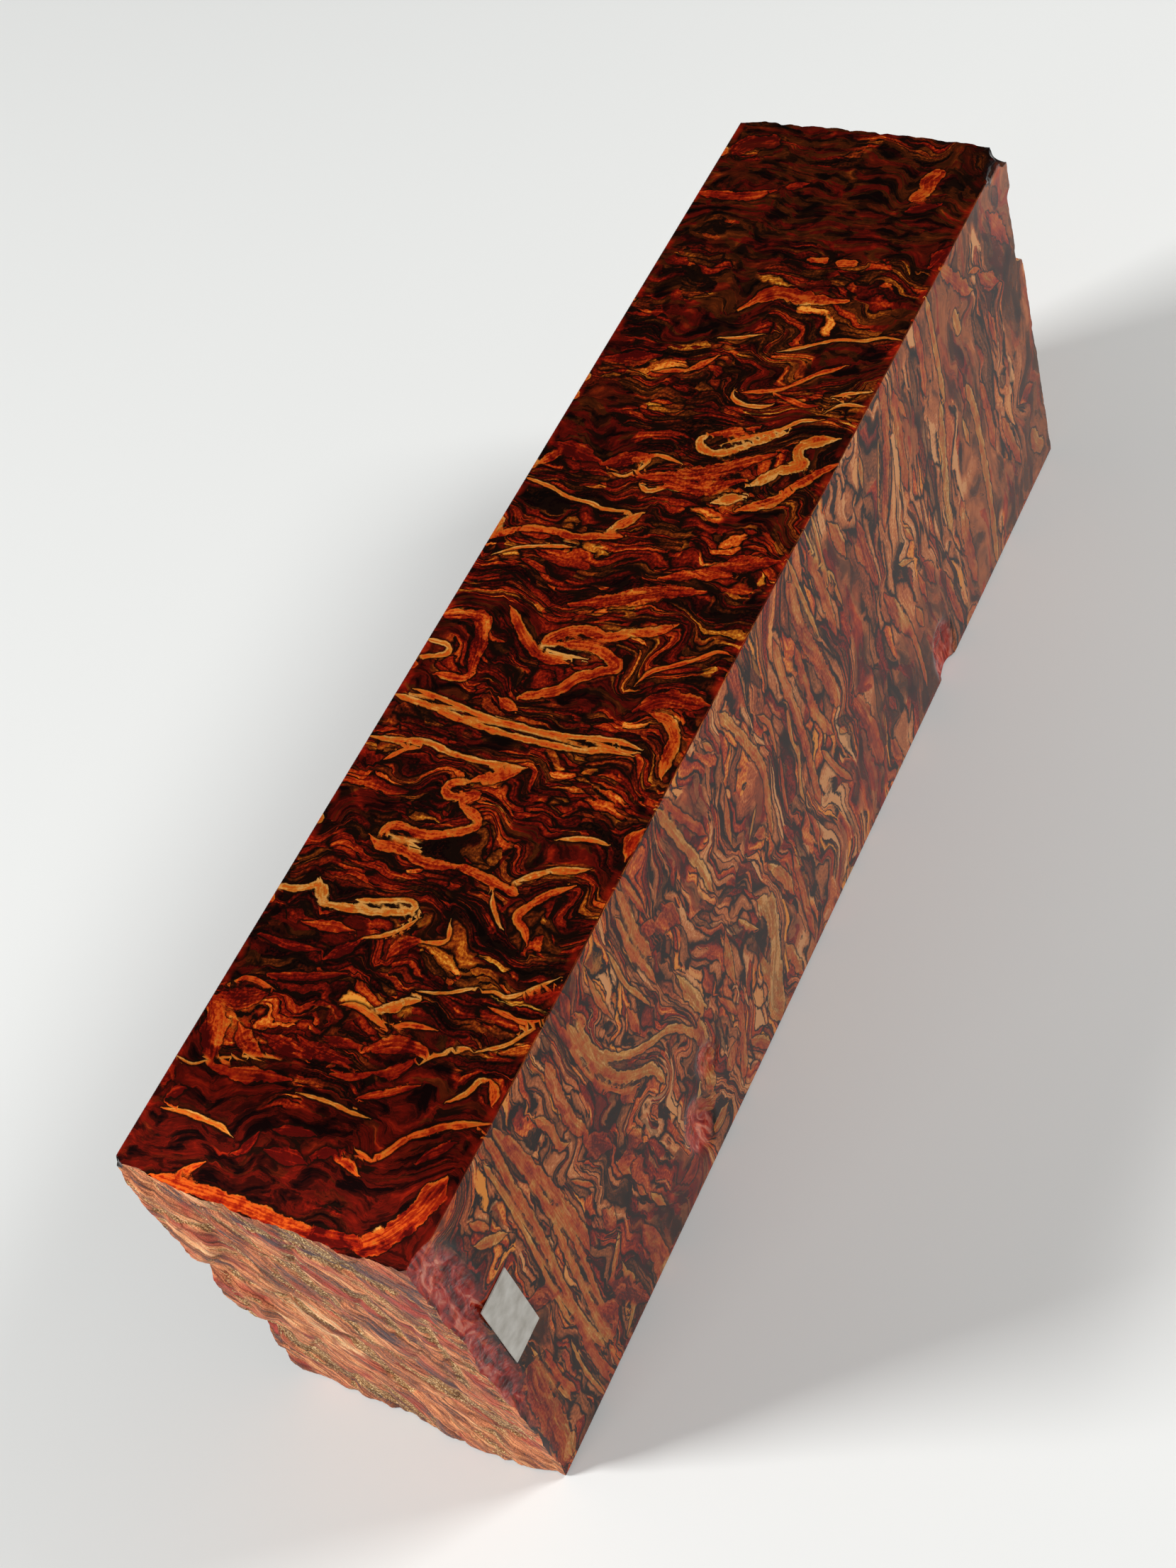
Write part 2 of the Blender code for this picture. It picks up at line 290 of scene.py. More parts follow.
# The figure of the top face. Each ribbon is a scale seen edge-on: its tone, half width in mm, taper, and
# points (mm from the near end, mm from the back edge).
TOP_RIBBONS = (
    (RED, 1.4, LENS, ((16.5, 0.5), (17.1, 2.8), (18.2, 4.7))),
    (EMBER, 1.6, LENS, ((16.4, 0.3), (14.3, 1.8), (11.1, 3.3))),
    (EMBER, 0.95, LENS, ((14.9, 4.1), (13.6, 5.5), (12.9, 7.5))),
    (RED, 0.99, LENS, ((14.7, 6.8), (14.2, 9.6), (14, 11.9))),
    (RED, 0.94, LENS, ((15.4, 10), (14.8, 12.4), (14.7, 15.6))),
    (RED, 0.65, LENS, ((16.2, 12.3), (16.2, 14.3), (16.4, 16))),
    (EMBER, 1.1, LENS, ((16.1, 16.2), (16.9, 17.4), (17.6, 18.9), (17.8, 21.8))),
    (EMBER, 0.79, LENS, ((14.5, 18.2), (15.2, 19.8), (16.6, 20.9))),
    (EMBER, 0.5, LENS, ((13.3, 14.6), (13.6, 16.5), (14.7, 18.3))),
    (EMBER, 0.96, LENS, ((10.6, 3.4), (10.6, 6.1), (11.2, 8.7), (11.6, 11.2))),
    (TAN, 0.16, LEAF, ((10.5, -0.1), (10.2, 1.9), (11.2, 3.5), (12.3, 6.1), (12.9, 8.2), (13.2, 10.4))),
    (TAN, 0.3, LEAF, ((5.7, 1.7), (6, 3.5), (6, 5.5), (5.9, 7.6), (5.4, 9.1))),
    (TAN, 0.24, LEAF, ((10.8, 12.6), (10.9, 14.4), (10.9, 16.1), (10.7, 17.9), (10.7, 19.8))),
    (EMBER, 0.45, LEAF, ((12.1, 18), (13.3, 20.2), (14.7, 22.4))),
    (YELLOW, 0.21, LEAF, ((13.2, 20), (14.2, 21.5))),
    (TAN, 0.34, LEAF, ((14.2, 25.6), (15.5, 26.8), (16.7, 27.2), (17.2, 28.1))),
    (ORANGE, 0.62, LENS, ((17, 28.1), (16.3, 28.9), (15.2, 29.3))),
    (ORANGE, 0.41, LEAF, ((7.1, 21.8), (8.3, 22.7), (10.1, 23.8), (11.2, 25.2), (12.2, 26.5), (13.6, 30))),
    (ORANGE, 0.3, LEAF, ((7.9, 20.1), (7.5, 21.6), (8.1, 22.1))),
    (TAN, 0.25, LEAF, ((19, 25.6), (20, 27.3), (20.8, 28.2), (22, 29), (23, 30))),
    (TAN, 0.21, LEAF, ((18.2, 22.8), (18.8, 23.8), (19.2, 25.3))),
    (TAN, 0.21, LEAF, ((16.4, 21.5), (17.6, 22.4), (18.8, 24.8))),
    (ORANGE, 0.41, LEAF, ((19.5, 12.1), (19.7, 13.4), (19.3, 15.1), (18.5, 17.3))),
    (TAN, 0.7, LENS, ((19.6, 14.7), (20.4, 16.4), (21.4, 17.5), (21.9, 18.6))),
    (ORANGE, 0.34, LEAF, ((18.7, 17.2), (19.5, 18.8), (19.8, 21.3))),
    (TAN, 0.21, LEAF, ((22.6, 17.9), (23.1, 20.1), (23.7, 21.4), (24.6, 23))),
    (TAN, 0.24, LEAF, ((24.1, 23.1), (24.6, 24.4), (24.5, 25.9), (25.8, 27.5), (27.5, 29.3))),
    (ORANGE, 0.3, LEAF, ((23.1, 24.8), (23, 26.2), (22.8, 28.3), (23.5, 29.8))),
    (RED, 0.66, LENS, ((24.6, 27.6), (25.3, 28.7), (26.1, 29.6))),
    (RED, 0.6, LENS, ((20, 3.8), (20.8, 7.3), (22.2, 10.8))),
    (RED, 0.59, LENS, ((23.4, 1), (23.2, 4.4), (23.6, 7.4))),
    (RED, 0.86, LENS, ((23, 8.2), (24.3, 9.5), (25.4, 10.4))),
    (EMBER, 0.7, LENS, ((25.6, 4.3), (26, 6.8), (26.2, 9.2))),
    (RED, 1, LENS, ((24.9, 13.7), (26.3, 14.4), (27.2, 15.7))),
    (RED, 0.71, LENS, ((6.8, 1.5), (7.5, 2.1), (7.9, 2.6))),
    (CRIMSON, 0.92, LENS, ((5.3, 12.8), (5.4, 14.6), (5.4, 16.5))),
    (CRIMSON, 0.78, LENS, ((7.2, 12.6), (7.6, 14.3), (7.9, 16))),
    (RED, 0.62, LENS, ((4.1, 10.1), (4.6, 10.8), (6.3, 11.2))),
    (ORANGE, 0.58, LENS, ((6.5, 19.1), (6.5, 20.3), (5.9, 21.4))),
    (RED, 0.76, LENS, ((8.6, 25.8), (9.8, 26.7), (11, 27.8))),
    (CRIMSON, 0.74, LENS, ((5.9, 16.7), (6.8, 17.8), (7.4, 19.1))),
    (ORANGE, 0.5, LENS, ((0.4, 6), (1.7, 7.2), (2.5, 8))),
    (ORANGE, 0.8, LEAF, ((0.0, 4.2), (0.2, 9), (0.3, 13), (0.1, 18), (0.2, 22))),
    (RED, 0.9, LEAF, ((0.0, 19), (0.3, 22), (0.9, 25.4))),
    (ORANGE, 1.3, LEAF, ((0.2, 24.4), (1.7, 26.2), (4.4, 27.8), (8, 28.7))),
    (PALE, 0.5, LENS, ((2.0, 25.2), (2.6, 26.2))),
    (ORANGE, 0.25, LEAF, ((18, 0.8), (19.2, 2.5), (18.9, 5.3))),
    (YELLOW, 0.45, BLUNT, ((28.3, 0), (28.6, 2), (29.6, 3.6))),
    (PALE, 0.8, LENS, ((29.9, 3.6), (28.9, 4.4), (27.8, 4.9))),
    (YELLOW, 0.5, BLUNT, ((27.8, 4.7), (28.0, 6.5), (28.3, 8.6), (28.7, 11), (29.6, 13.4), (30.4, 13.6))),
    (YELLOW, 0.35, BLUNT, ((30.4, 13.6), (30.4, 12.4), (29.8, 10.6), (29.1, 8.2))),
    (TAN, 0.3, LEAF, ((25.8, 10.4), (26.6, 12.2), (27.8, 13.6), (29.2, 14.6))),
    (TAN, 0.3, LEAF, ((27, 15.8), (27.8, 18), (29.7, 17.4))),
    (ORANGE, 0.65, LEAF, ((35.5, 5.8), (34.9, 7), (35, 9.2), (34.4, 12), (34.6, 14.2), (35, 15.5))),
    (ORANGE, 0.55, BLUNT, ((35, 15.5), (34.6, 17.8), (34.2, 20.5), (33.8, 21.9))),
    (ORANGE, 0.6, LEAF, ((35.8, 6.4), (37.2, 7.5), (37, 10.3), (37.4, 12), (38.3, 13.9), (39.4, 15.1),
                         (40.3, 13.9), (40.8, 12.2))),
    (ORANGE, 0.55, BLUNT, ((40.8, 12.2), (42.2, 13.3), (41.4, 11.1), (42, 10.1), (42.8, 10.6), (43.3, 12))),
    (ORANGE, 0.5, LEAF, ((43.3, 12), (44.4, 13.6), (45.8, 15.5))),
    (PALE, 0.4, LENS, ((35.7, 7), (35.9, 9), (35.6, 11))),
    (TAN, 0.45, LEAF, ((34.7, 20.8), (35.8, 22.2), (36.9, 23.9), (37.5, 25.8), (38, 27))),
    (ORANGE, 0.5, LEAF, ((29.7, 25), (30.8, 24.2), (31.7, 22.9), (33.3, 23.6), (34.7, 24.7), (36, 26.4))),
    (TAN, 0.3, LEAF, ((30.3, 22.2), (32, 20.5), (33.3, 19.7))),
    (TAN, 0.35, LEAF, ((40, 22.8), (40.8, 25.6), (40.7, 27.5))),
    (ORANGE, 0.8, LENS, ((39.9, 29.6), (41.5, 29.3), (43, 29.8))),
    (TAN, 0.44, LEAF, ((50.3, 0), (50, 3.6), (49.3, 8.3), (49, 12.5), (49, 16.7), (49.2, 20.6),
                       (49.9, 22.8), (49.9, 25.3))),
    (TAN, 0.36, LEAF, ((51.4, 1.7), (50.9, 5.6), (50.3, 9.4), (50.1, 13), (50.2, 17.8), (50.7, 21),
                       (51, 23.6), (50.7, 26))),
    (TAN, 0.4, LEAF, ((45.3, 0), (45.6, 2.8), (46.2, 5.6), (45.7, 8.6), (45.6, 11.7), (45.8, 14.4),
                      (46, 16.4))),
    (ORANGE, 0.35, LEAF, ((43.3, 2.8), (45, 4.4), (45.4, 5.6))),
    (ORANGE, 0.45, LEAF, ((43.3, 13.3), (44.7, 15), (46, 16.4))),
    (TAN, 0.35, BLUNT, ((54.7, 0), (55.6, 2.2), (56.1, 2.9), (56.9, 2.2), (57, 0))),
    (EMBER, 0.9, LEAF, ((60, 0), (60.6, 2.2), (60.7, 4.2), (58.9, 5), (56.7, 5.6), (54.4, 6.1))),
    (ORANGE, 0.5, LEAF, ((54.4, 6.6), (53.6, 5.6), (53.5, 2.8))),
    (ORANGE, 0.8, LENS, ((52.5, 10.4), (52, 11.4), (51.7, 12.4))),
    (ORANGE, 0.75, BLUNT, ((53, 12), (54.7, 15.3), (56.4, 16.4), (57.5, 18), (58.6, 19.7), (59.7, 17.8),
                           (60.1, 15.6), (59.7, 13.3))),
    (ORANGE, 0.75, LEAF, ((59.7, 13.3), (59.7, 11.7), (61.1, 13), (61.8, 15), (61.5, 17.2), (62.5, 19.2),
                          (63.3, 21.4), (64.4, 23))),
    (ORANGE, 0.65, LEAF, ((62.5, 6.4), (61.1, 7.8), (60, 8.9), (58.9, 10.3), (57.9, 12), (57.8, 14.7))),
    (PALE, 0.22, LEAF, ((59.4, 10.4), (58.8, 11.9), (58.6, 13.9), (58.7, 16.4))),
    (EMBER, 1.1, LEAF, ((54.5, 23.4), (56.2, 25.2), (56.6, 27.6), (56.8, 29.6))),
    (ORANGE, 0.8, LEAF, ((54.6, 25), (54.2, 27), (52.4, 28.4), (50.2, 28.6), (48.6, 28.9))),
    (ORANGE, 0.3, LEAF, ((57.2, 22.2), (58.9, 23), (60, 24.7), (61.4, 26.7), (62.5, 28), (62.5, 29.4))),
    (EMBER, 1.3, LENS, ((64.2, 12), (65.6, 15.6), (67.8, 20.6), (68.6, 23.9))),
    (EMBER, 0.9, LENS, ((69.2, 19.2), (70.4, 22.4), (70.9, 25.5))),
    (RED, 1.2, LENS, ((71.4, 23.2), (72.6, 26), (73.6, 29.2))),
    (RED, 1.3, LENS, ((82.6, 0.6), (82.2, 3.4), (81.4, 6.6))),
    (EMBER, 1.4, LENS, ((80.4, 11.4), (81.3, 15.5), (82.7, 18.7), (84.5, 21.3), (85.9, 23.4))),
    (EMBER, 1.15, LENS, ((79.8, 14.7), (80.4, 18.6), (82.2, 21.8))),
    (EMBER, 1.1, LENS, ((81.0, 6.9), (82.3, 9.4), (83.3, 11.8))),
    (TAN, 0.26, LEAF, ((80.3, 8.3), (80.1, 9.9), (81.5, 11.2), (83.3, 11.9), (83.1, 13.9), (82.8, 15.2))),
    (TAN, 0.36, LEAF, ((79.5, 11.9), (78.9, 13.2), (79.9, 15.0))),
    (ORANGE, 0.55, LEAF, ((69.7, 0), (71.7, 2.8), (72.1, 6.4), (71.9, 8.3), (72.6, 11.1), (73, 13.3))),
    (TAN, 0.25, LEAF, ((68, 1.4), (69.4, 3.6), (70.3, 6.7), (70.7, 9.2))),
    (TAN, 0.28, LEAF, ((77.8, 0), (77.2, 3.3), (76.4, 5.6), (76.2, 8.3), (75.8, 9.7), (76.1, 12.8))),
    (TAN, 0.8, LENS, ((73, 11.2), (74.6, 12.6), (76.2, 13.8))),
    (YELLOW, 0.55, LEAF, ((87, 16.5), (86.3, 15.5), (85.3, 15.8), (84.8, 17.2), (85.1, 18.6),
                          (86.2, 20.1), (87.5, 21.8), (88.7, 23.5))),
    (TAN, 0.3, LEAF, ((91, 26.3), (90.5, 24.3), (89.2, 23), (88.1, 21.2), (87.1, 19.4), (86.1, 17.9))),
    (EMBER, 0.7, LENS, ((86.9, 15.9), (87.8, 18.3), (88.9, 20.6))),
    (YELLOW, 0.8, LEAF, ((89, 28.8), (88.4, 27), (87.4, 25.6), (86.3, 25.7), (85.1, 26.6), (84, 24.8),
                         (82.9, 23.9), (81.6, 22.6))),
    (ORANGE, 0.8, LENS, ((86.1, 30), (84.6, 28.6), (83.3, 27.7), (81.7, 26.1))),
    (ORANGE, 0.95, LENS, ((81.9, 27.2), (80.3, 25.7), (79.6, 24.6), (78.6, 22.8))),
    (YELLOW, 0.8, LENS, ((80.3, 22.8), (79.6, 21.4), (79, 20.1))),
    (ORANGE, 0.8, LENS, ((79.7, 0.4), (81.2, 1.6), (83, 2.6))),
    (ORANGE, 1.3, LENS, ((106.5, 22.3), (106.2, 19.5), (106.3, 17.1), (106.5, 15), (105.6, 13.5),
                         (103.5, 11.9))),
    (YELLOW, 0.42, LENS, ((106.9, 14.8), (106.1, 13.6), (104.4, 12.4))),
    (ORANGE, 0.6, BLUNT, ((111.4, 16.2), (111.7, 18))),
    (ORANGE, 0.6, BLUNT, ((111.5, 19.4), (111.8, 21.2))),
    (RED, 0.8, LENS, ((121.2, 9.4), (122.1, 11.4))),
    (TAN, 0.25, LEAF, ((102.5, 29.9), (102.5, 28), (101.7, 26.1), (101.4, 23.8), (100.7, 22.2),
                       (99.8, 20.6), (98.7, 18.3))),
    (ORANGE, 0.32, LEAF, ((98.3, 25.8), (97.5, 24.9), (96.7, 23.5), (95.1, 21.9), (93.8, 20.2),
                          (92.8, 16.8))),
    (TAN, 0.34, LEAF, ((93, 16), (92.1, 16.2), (91.4, 17.5), (91.4, 19.5), (91.9, 20.7))),
    (TAN, 0.25, LEAF, ((92.1, 26.2), (93.3, 27.5), (93.5, 29.8))),
    (TAN, 0.26, LEAF, ((94.1, 26.1), (94.9, 27.8), (95.5, 29.8))),
    (EMBER, 0.4, LEAF, ((93.1, 20.8), (92.8, 22.2), (92.4, 23.8), (92.7, 25.2))),
    (RED, 1.25, LENS, ((94.3, 0.4), (94.9, 3.6), (95.9, 6.3))),
    (TAN, 0.3, LENS, ((99.4, 11.4), (99.7, 13.3), (100.7, 15.8))),
    (ORANGE, 0.5, LENS, ((94.1, 9.6), (95.3, 11), (96.9, 12.4))),
    (ORANGE, 0.38, LENS, ((93.7, 7), (94.2, 8.5), (94.6, 9.9))),
    (EMBER, 0.8, LEAF, ((119, 0), (119.3, 5.6), (120.6, 8.3))),
    (ORANGE, 1.1, BLUNT, ((121.8, 23.6), (123.2, 24.4), (124.4, 24), (125.8, 24.8))),
    (RED, 1.0, LENS, ((119.9, 23.6), (121.3, 26.4))),
    (RED, 1.0, LENS, ((112.5, 28.8), (115.6, 29.8))),
    (RED, 1.3, BLUNT, ((126, 1.6), (127.4, 2.8), (127.8, 5.2))),
    (POOL, 2.0, LENS, ((124, 29.5), (127, 28.4), (129.8, 26.4))),
)

# The same for the front face: points are (mm from the near end, mm down from the top edge)
FRONT_RIBBONS = (
    (ORANGE, 0.62, BLUNT, ((12.3, 0), (12.4, 3.3), (12, 9), (12, 14.3), (11.5, 20.5), (11, 26),
                           (10.7, 32.5), (11.2, 40))),
    (ORANGE, 0.55, LEAF, ((13.5, 0.6), (13.8, 6), (14, 12.2), (13.8, 18), (13.2, 23.4), (12.7, 30.1),
                          (12.2, 35.7), (12.4, 41.2))),
    (EMBER, 0.7, LEAF, ((14, 2.9), (14.6, 8.6), (15.2, 14.3), (15.6, 18.6), (15.8, 23.8), (15.4, 27.6))),
    (ORANGE, 0.45, LEAF, ((14.7, 16.1), (14.7, 23.1), (14.2, 28.4), (13.5, 34.3), (13, 38.6))),
    (TAN, 0.35, LEAF, ((10.9, 2), (10.9, 9), (10.6, 16), (10, 23), (9.5, 31))),
    (EMBER, 0.4, LEAF, ((11.1, 27), (10, 34), (10, 41), (10.6, 45))),
    (TAN, 0.75, LEAF, ((25.3, 3.7), (25.4, 7.5), (26.1, 11.7), (27.5, 16.7), (29.9, 20.3), (31.7, 22.4),
                       (32.4, 26))),
    (TAN, 0.55, LEAF, ((26.4, 4.6), (26.4, 9.2), (27.5, 12.9), (30.2, 17.1), (33.1, 19.9), (35.8, 22.1),
                       (38.1, 26.5), (39.5, 31.5))),
    (ORANGE, 0.3, LEAF, ((24.4, 4), (24.5, 9), (25.2, 13.5), (27.1, 18.6), (29.4, 21.8))),
    (TAN, 0.6, LENS, ((39.5, 30.5), (39.6, 33.4), (37.8, 35))),
    (ORANGE, 0.8, LEAF, ((51.1, 33), (50.9, 39), (50.5, 45))),
    (EMBER, 0.8, LEAF, ((45.9, 33.4), (44, 39), (42, 43.2))),
    (TAN, 0.9, LEAF, ((55.8, 29), (54, 35.3), (52.5, 39.9), (51.1, 44.7))),
    (RED, 1.3, LENS, ((20.5, 18.6), (21.7, 19.6), (22.8, 21.2))),
    (RED, 1.2, LENS, ((23.2, 25), (24.2, 26.2), (25, 27.6))),
    (RED, 1.5, LENS, ((39.6, 9.6), (40.7, 11.1), (41.6, 13))),
    (EMBER, 1.0, LENS, ((26.8, 19.2), (27.6, 20.2), (28.4, 21.4))),
    (PALE, 0.5, LENS, ((19, 31.8), (17.4, 33.6), (15.6, 34.8))),
    (TAN, 0.55, LEAF, ((18, 37.4), (17.6, 40), (16, 42.5), (14.2, 43.6))),
    (EMBER, 0.9, LEAF, ((22, 35.6), (21.8, 40), (20.9, 45.4))),
    (PALE, 0.6, LENS, ((36.4, 33.4), (34.7, 35.8), (32.5, 37.4))),
    (EMBER, 0.9, LEAF, ((21.4, 3.4), (20.8, 8.8), (20.7, 12.4), (21.6, 16.7))),
    (ORANGE, 0.5, LEAF, ((35.5, 2.6), (35.7, 8.7), (36.4, 12.8), (36.6, 15))),
    (TAN, 1.0, LENS, ((39.5, 18.6), (40, 23), (40.5, 27))),
    (RED, 1.2, LENS, ((7.2, 21), (8.6, 23), (10, 25.6))),
    (EMBER, 1.9, LEAF, ((3.6, 27), (2.6, 33), (2.2, 38), (1.6, 44))),
    (RED, 1.4, LENS, ((20.9, 16.7), (22, 19), (23.2, 22))),
    (RED, 1.0, LENS, ((41.2, 9.3), (42, 11.5), (42.4, 13.8))),
    (RED, 0.9, LENS, ((38, 7.7), (38.8, 9.2), (39.5, 10.6))),
    (ORANGE, 0.8, LENS, ((15.7, 35), (17.4, 33.6), (19, 32.4))),
    (ORANGE, 1.2, LEAF, ((39.6, 27), (38.6, 32), (37.6, 37))),
    (RED, 1.2, LENS, ((21.2, 37), (22, 41), (22.4, 45))),
    (RED, 1.4, LENS, ((15.4, 34.6), (17, 40), (18.4, 45))),
    (TAN, 0.7, LEAF, ((45.3, 0), (46.5, 6.4), (47.8, 12.8), (48, 17))),
    (ORANGE, 0.7, LEAF, ((57.4, 2), (58.7, 5.8), (59.7, 9.6), (60.8, 15), (59.4, 21), (59, 23))),
    (EMBER, 1.2, LEAF, ((72.8, 2), (73, 9.6), (74, 14.4), (75.7, 24))),
    (EMBER, 0.8, LEAF, ((71.2, 9.6), (71.2, 19), (73, 25.3))),
    (EMBER, 0.8, LEAF, ((68.3, 4.8), (68, 9.6), (68.3, 19), (67.7, 30))),
    (TAN, 1.3, LEAF, ((53.6, 27), (54.6, 31), (53.9, 35), (50.7, 40), (50, 44))),
    (RED, 1.4, LEAF, ((78.3, 26.6), (79.6, 32), (80.2, 40))),
    (ORANGE, 1.1, LENS, ((82, 3.8), (82.8, 7), (83.4, 10))),
    (ORANGE, 0.9, LENS, ((85.4, 11), (86.4, 15))),
    (TAN, 0.9, BLUNT, ((113.6, 7), (113.9, 9.6))),
    (TAN, 0.6, LENS, ((111.2, 20), (111.6, 24))),
    (TAN, 0.6, LEAF, ((108.5, 0), (108.4, 6), (108.2, 14))),
    (TAN, 0.9, LEAF, ((107.2, 13.5), (105.9, 19.2), (104.6, 25.6), (104.3, 29.8))),
    (RED, 1.4, LENS, ((88.4, 22), (90, 27), (91.4, 32))),
    (TAN, 0.8, LEAF, ((113.3, 16.7), (114.2, 22.4), (114.2, 28.8), (113.9, 36.9), (113, 45))),
    (TAN, 1.2, BLUNT, ((126.6, 38), (127.2, 40.4), (128.6, 42))),
    (ORANGE, 1.0, LEAF, ((112.5, 0), (114.8, 3.4), (117.6, 8))),
    (RED, 0.3, BLUNT, ((2.5, 13.45), (7.3, 13.45))),
    (RED, 0.8, LEAF, ((3.2, 3.2), (3.5, 8), (3.2, 12.8))),
    (CRIMSON, 1.0, LEAF, ((1, 3), (0.6, 8), (1, 14), (1.6, 21), (2.2, 27))),
    (TAN, 0.7, LEAF, ((6, 7.4), (7.4, 9.3), (9, 11.2))),
    (ORANGE, 0.5, LEAF, ((6.7, 4.8), (8, 8))),
    (TAN, 0.25, LEAF, ((4.8, 25.6), (4.6, 32), (5, 38.5))),
    (EMBER, 0.5, LEAF, ((5.8, 28.8), (5.4, 33.6), (6, 38.5))),
    (TAN, 0.3, LEAF, ((8.5, 32.7), (8, 38.5), (8.3, 44.9))),
    (EMBER, 0.5, LEAF, ((9.6, 35), (9.6, 45))),
    (ORANGE, 0.6, LEAF, ((17.5, 6.4), (18.4, 9.6), (18.3, 12.8), (19.2, 14))),
    (EMBER, 0.5, LEAF, ((20.5, 4.8), (20.8, 9.6), (20.7, 13.8))),
    (RED, 0.4, LEAF, ((24.4, 0), (24.4, 4.8), (25.6, 9.6), (25, 13.5), (25.3, 16))),
    (RED, 0.9, LENS, ((26.3, 0), (26, 1.9), (25.6, 3.8))),
    (ORANGE, 0.6, LENS, ((26.6, 4.2), (27.2, 6.4))),
    (ORANGE, 0.7, LEAF, ((36.9, 0), (37, 3.2), (36.9, 8), (37.5, 11.9))),
    (EMBER, 0.5, LEAF, ((38.1, 0), (38.5, 3.8), (38.9, 7))),
    (TAN, 0.35, LEAF, ((33, 4.2), (33.2, 9.6), (34, 12.8), (34.8, 16))),
    (ORANGE, 0.5, LENS, ((35.3, 4.8), (35.3, 10.3))),
    (ORANGE, 0.5, LENS, ((29.8, 2.6), (29.6, 6.4), (30.1, 10.6))),
    (EMBER, 0.9, LENS, ((32.2, 12.8), (32.2, 16.5))),
    (ORANGE, 0.3, LEAF, ((17.6, 18), (18.6, 20.5), (19.4, 22.4))),
    (ORANGE, 0.6, LENS, ((27.2, 19.2), (27.9, 21.8))),
    (ORANGE, 0.7, LENS, ((22.9, 24.7), (23.4, 26.6), (23.7, 28.2))),
    (RED, 1.4, LENS, ((25.6, 24.4), (26.6, 27.2))),
    (RED, 1.3, LENS, ((18.9, 26.6), (19.2, 30.4))),
    (ORANGE, 0.5, LENS, ((23.7, 30.8), (24, 33.3))),
    (TAN, 0.6, LENS, ((24.7, 34.6), (25.6, 38.5))),
    (TAN, 0.35, LEAF, ((17.9, 35.3), (17, 38.5), (15, 41.7))),
    (RED, 1.3, LENS, ((13, 35), (14, 38.5), (13, 41))),
    (EMBER, 0.5, LEAF, ((22.8, 37.5), (23, 45))),
    (TAN, 0.9, LENS, ((39.7, 19.2), (40.4, 24), (41.3, 27))),
    (ORANGE, 1.8, LENS, ((33.3, 34.6), (35.3, 36.9), (37.8, 38.5))),
    (RED, 1.5, LENS, ((28.8, 40), (30.4, 41), (32, 40))),
    (TAN, 1.2, LENS, ((35.3, 41.7), (38.5, 41.7))),
    (EMBER, 1.5, LENS, ((41, 38.5), (43, 36.9))),
    (EMBER, 0.6, LEAF, ((46.4, 0), (47.5, 3.8), (49.1, 8), (50, 10.6))),
    (ORANGE, 0.5, LENS, ((54, 1.9), (54.9, 4.2))),
    (ORANGE, 0.7, LENS, ((54.4, 10.6), (53.3, 13.8), (52.9, 16))),
    (ORANGE, 0.4, LEAF, ((62.6, 9), (63.8, 12), (63.5, 16))),
    (EMBER, 0.4, LEAF, ((63.8, 17.3), (62.6, 21.8), (62.2, 24.4))),
    (TAN, 0.35, LEAF, ((67, 13.8), (66.4, 18), (66.7, 20.5), (65.4, 24.4), (65.4, 26.6))),
    (TAN, 0.4, LEAF, ((74, 0), (74.6, 6.4), (75.4, 12.8))),
    (EMBER, 0.9, LEAF, ((77.3, 3.2), (78, 9.6), (78.3, 16))),
    (TAN, 0.4, LENS, ((80.2, 10.6), (80.6, 14))),
    (TAN, 0.35, LEAF, ((79.5, 0), (79.5, 2.6), (79.2, 9.6))),
    (YELLOW, 0.2, LEAF, ((77.8, 0), (78.6, 5.8), (80.2, 9), (80.5, 10.9))),
    (ORANGE, 0.5, LENS, ((74.4, 26.3), (75.4, 28.2))),
    (ORANGE, 0.5, LEAF, ((70.6, 25), (71.2, 27.2), (72.2, 30.4), (74, 34.6))),
    (EMBER, 0.6, LENS, ((65.4, 28.8), (65.8, 32), (65.1, 35.3))),
    (ORANGE, 0.8, LEAF, ((56.8, 25.6), (57.8, 28.2), (58.7, 31), (59, 34))),
    (EMBER, 0.7, LEAF, ((61, 29.8), (60.8, 33.7), (60.3, 38.5), (60, 43.3))),
    (ORANGE, 0.8, LEAF, ((55.2, 37.8), (55.7, 41), (56.2, 45))),
    (ORANGE, 1.0, LENS, ((47.5, 23.7), (46.5, 27.2), (46.2, 30.4))),
    (TAN, 0.5, LENS, ((50, 25), (51, 27.9), (52, 29.8))),
    (ORANGE, 0.8, LENS, ((56.5, 19.9), (57.4, 20.8), (57.8, 22))),
    (TAN, 0.3, LEAF, ((57.8, 17.3), (55.5, 19.2))),
    (ORANGE, 0.9, LEAF, ((45.3, 40.4), (46.5, 42.6), (47.5, 45))),
    (EMBER, 0.6, LENS, ((43.3, 28.8), (44.3, 32), (45, 35.3))),
    (RED, 1.0, LEAF, ((82.8, 39.4), (83.7, 44.9))),
    (RED, 0.8, LENS, ((84.4, 34), (85.3, 36.9))),
    (RED, 1.0, LEAF, ((86.7, 9), (87, 14.4), (87.6, 19.2))),
    (TAN, 0.7, LENS, ((89.9, 3.2), (89.2, 6.4))),
    (TAN, 0.2, LEAF, ((94, 4.8), (92, 9.6), (90.8, 12.8))),
    (EMBER, 1.0, LEAF, ((96.6, 0), (96, 4.8), (94, 9.6), (92.4, 12.8), (91.5, 15))),
    (EMBER, 1.0, LEAF, ((98.5, 3.2), (97.9, 9.6), (97.2, 15.4))),
    (ORANGE, 0.5, LENS, ((99.2, 4.8), (100, 8))),
    (EMBER, 0.8, LEAF, ((105.3, 0), (105.3, 4.8), (104.6, 9.6))),
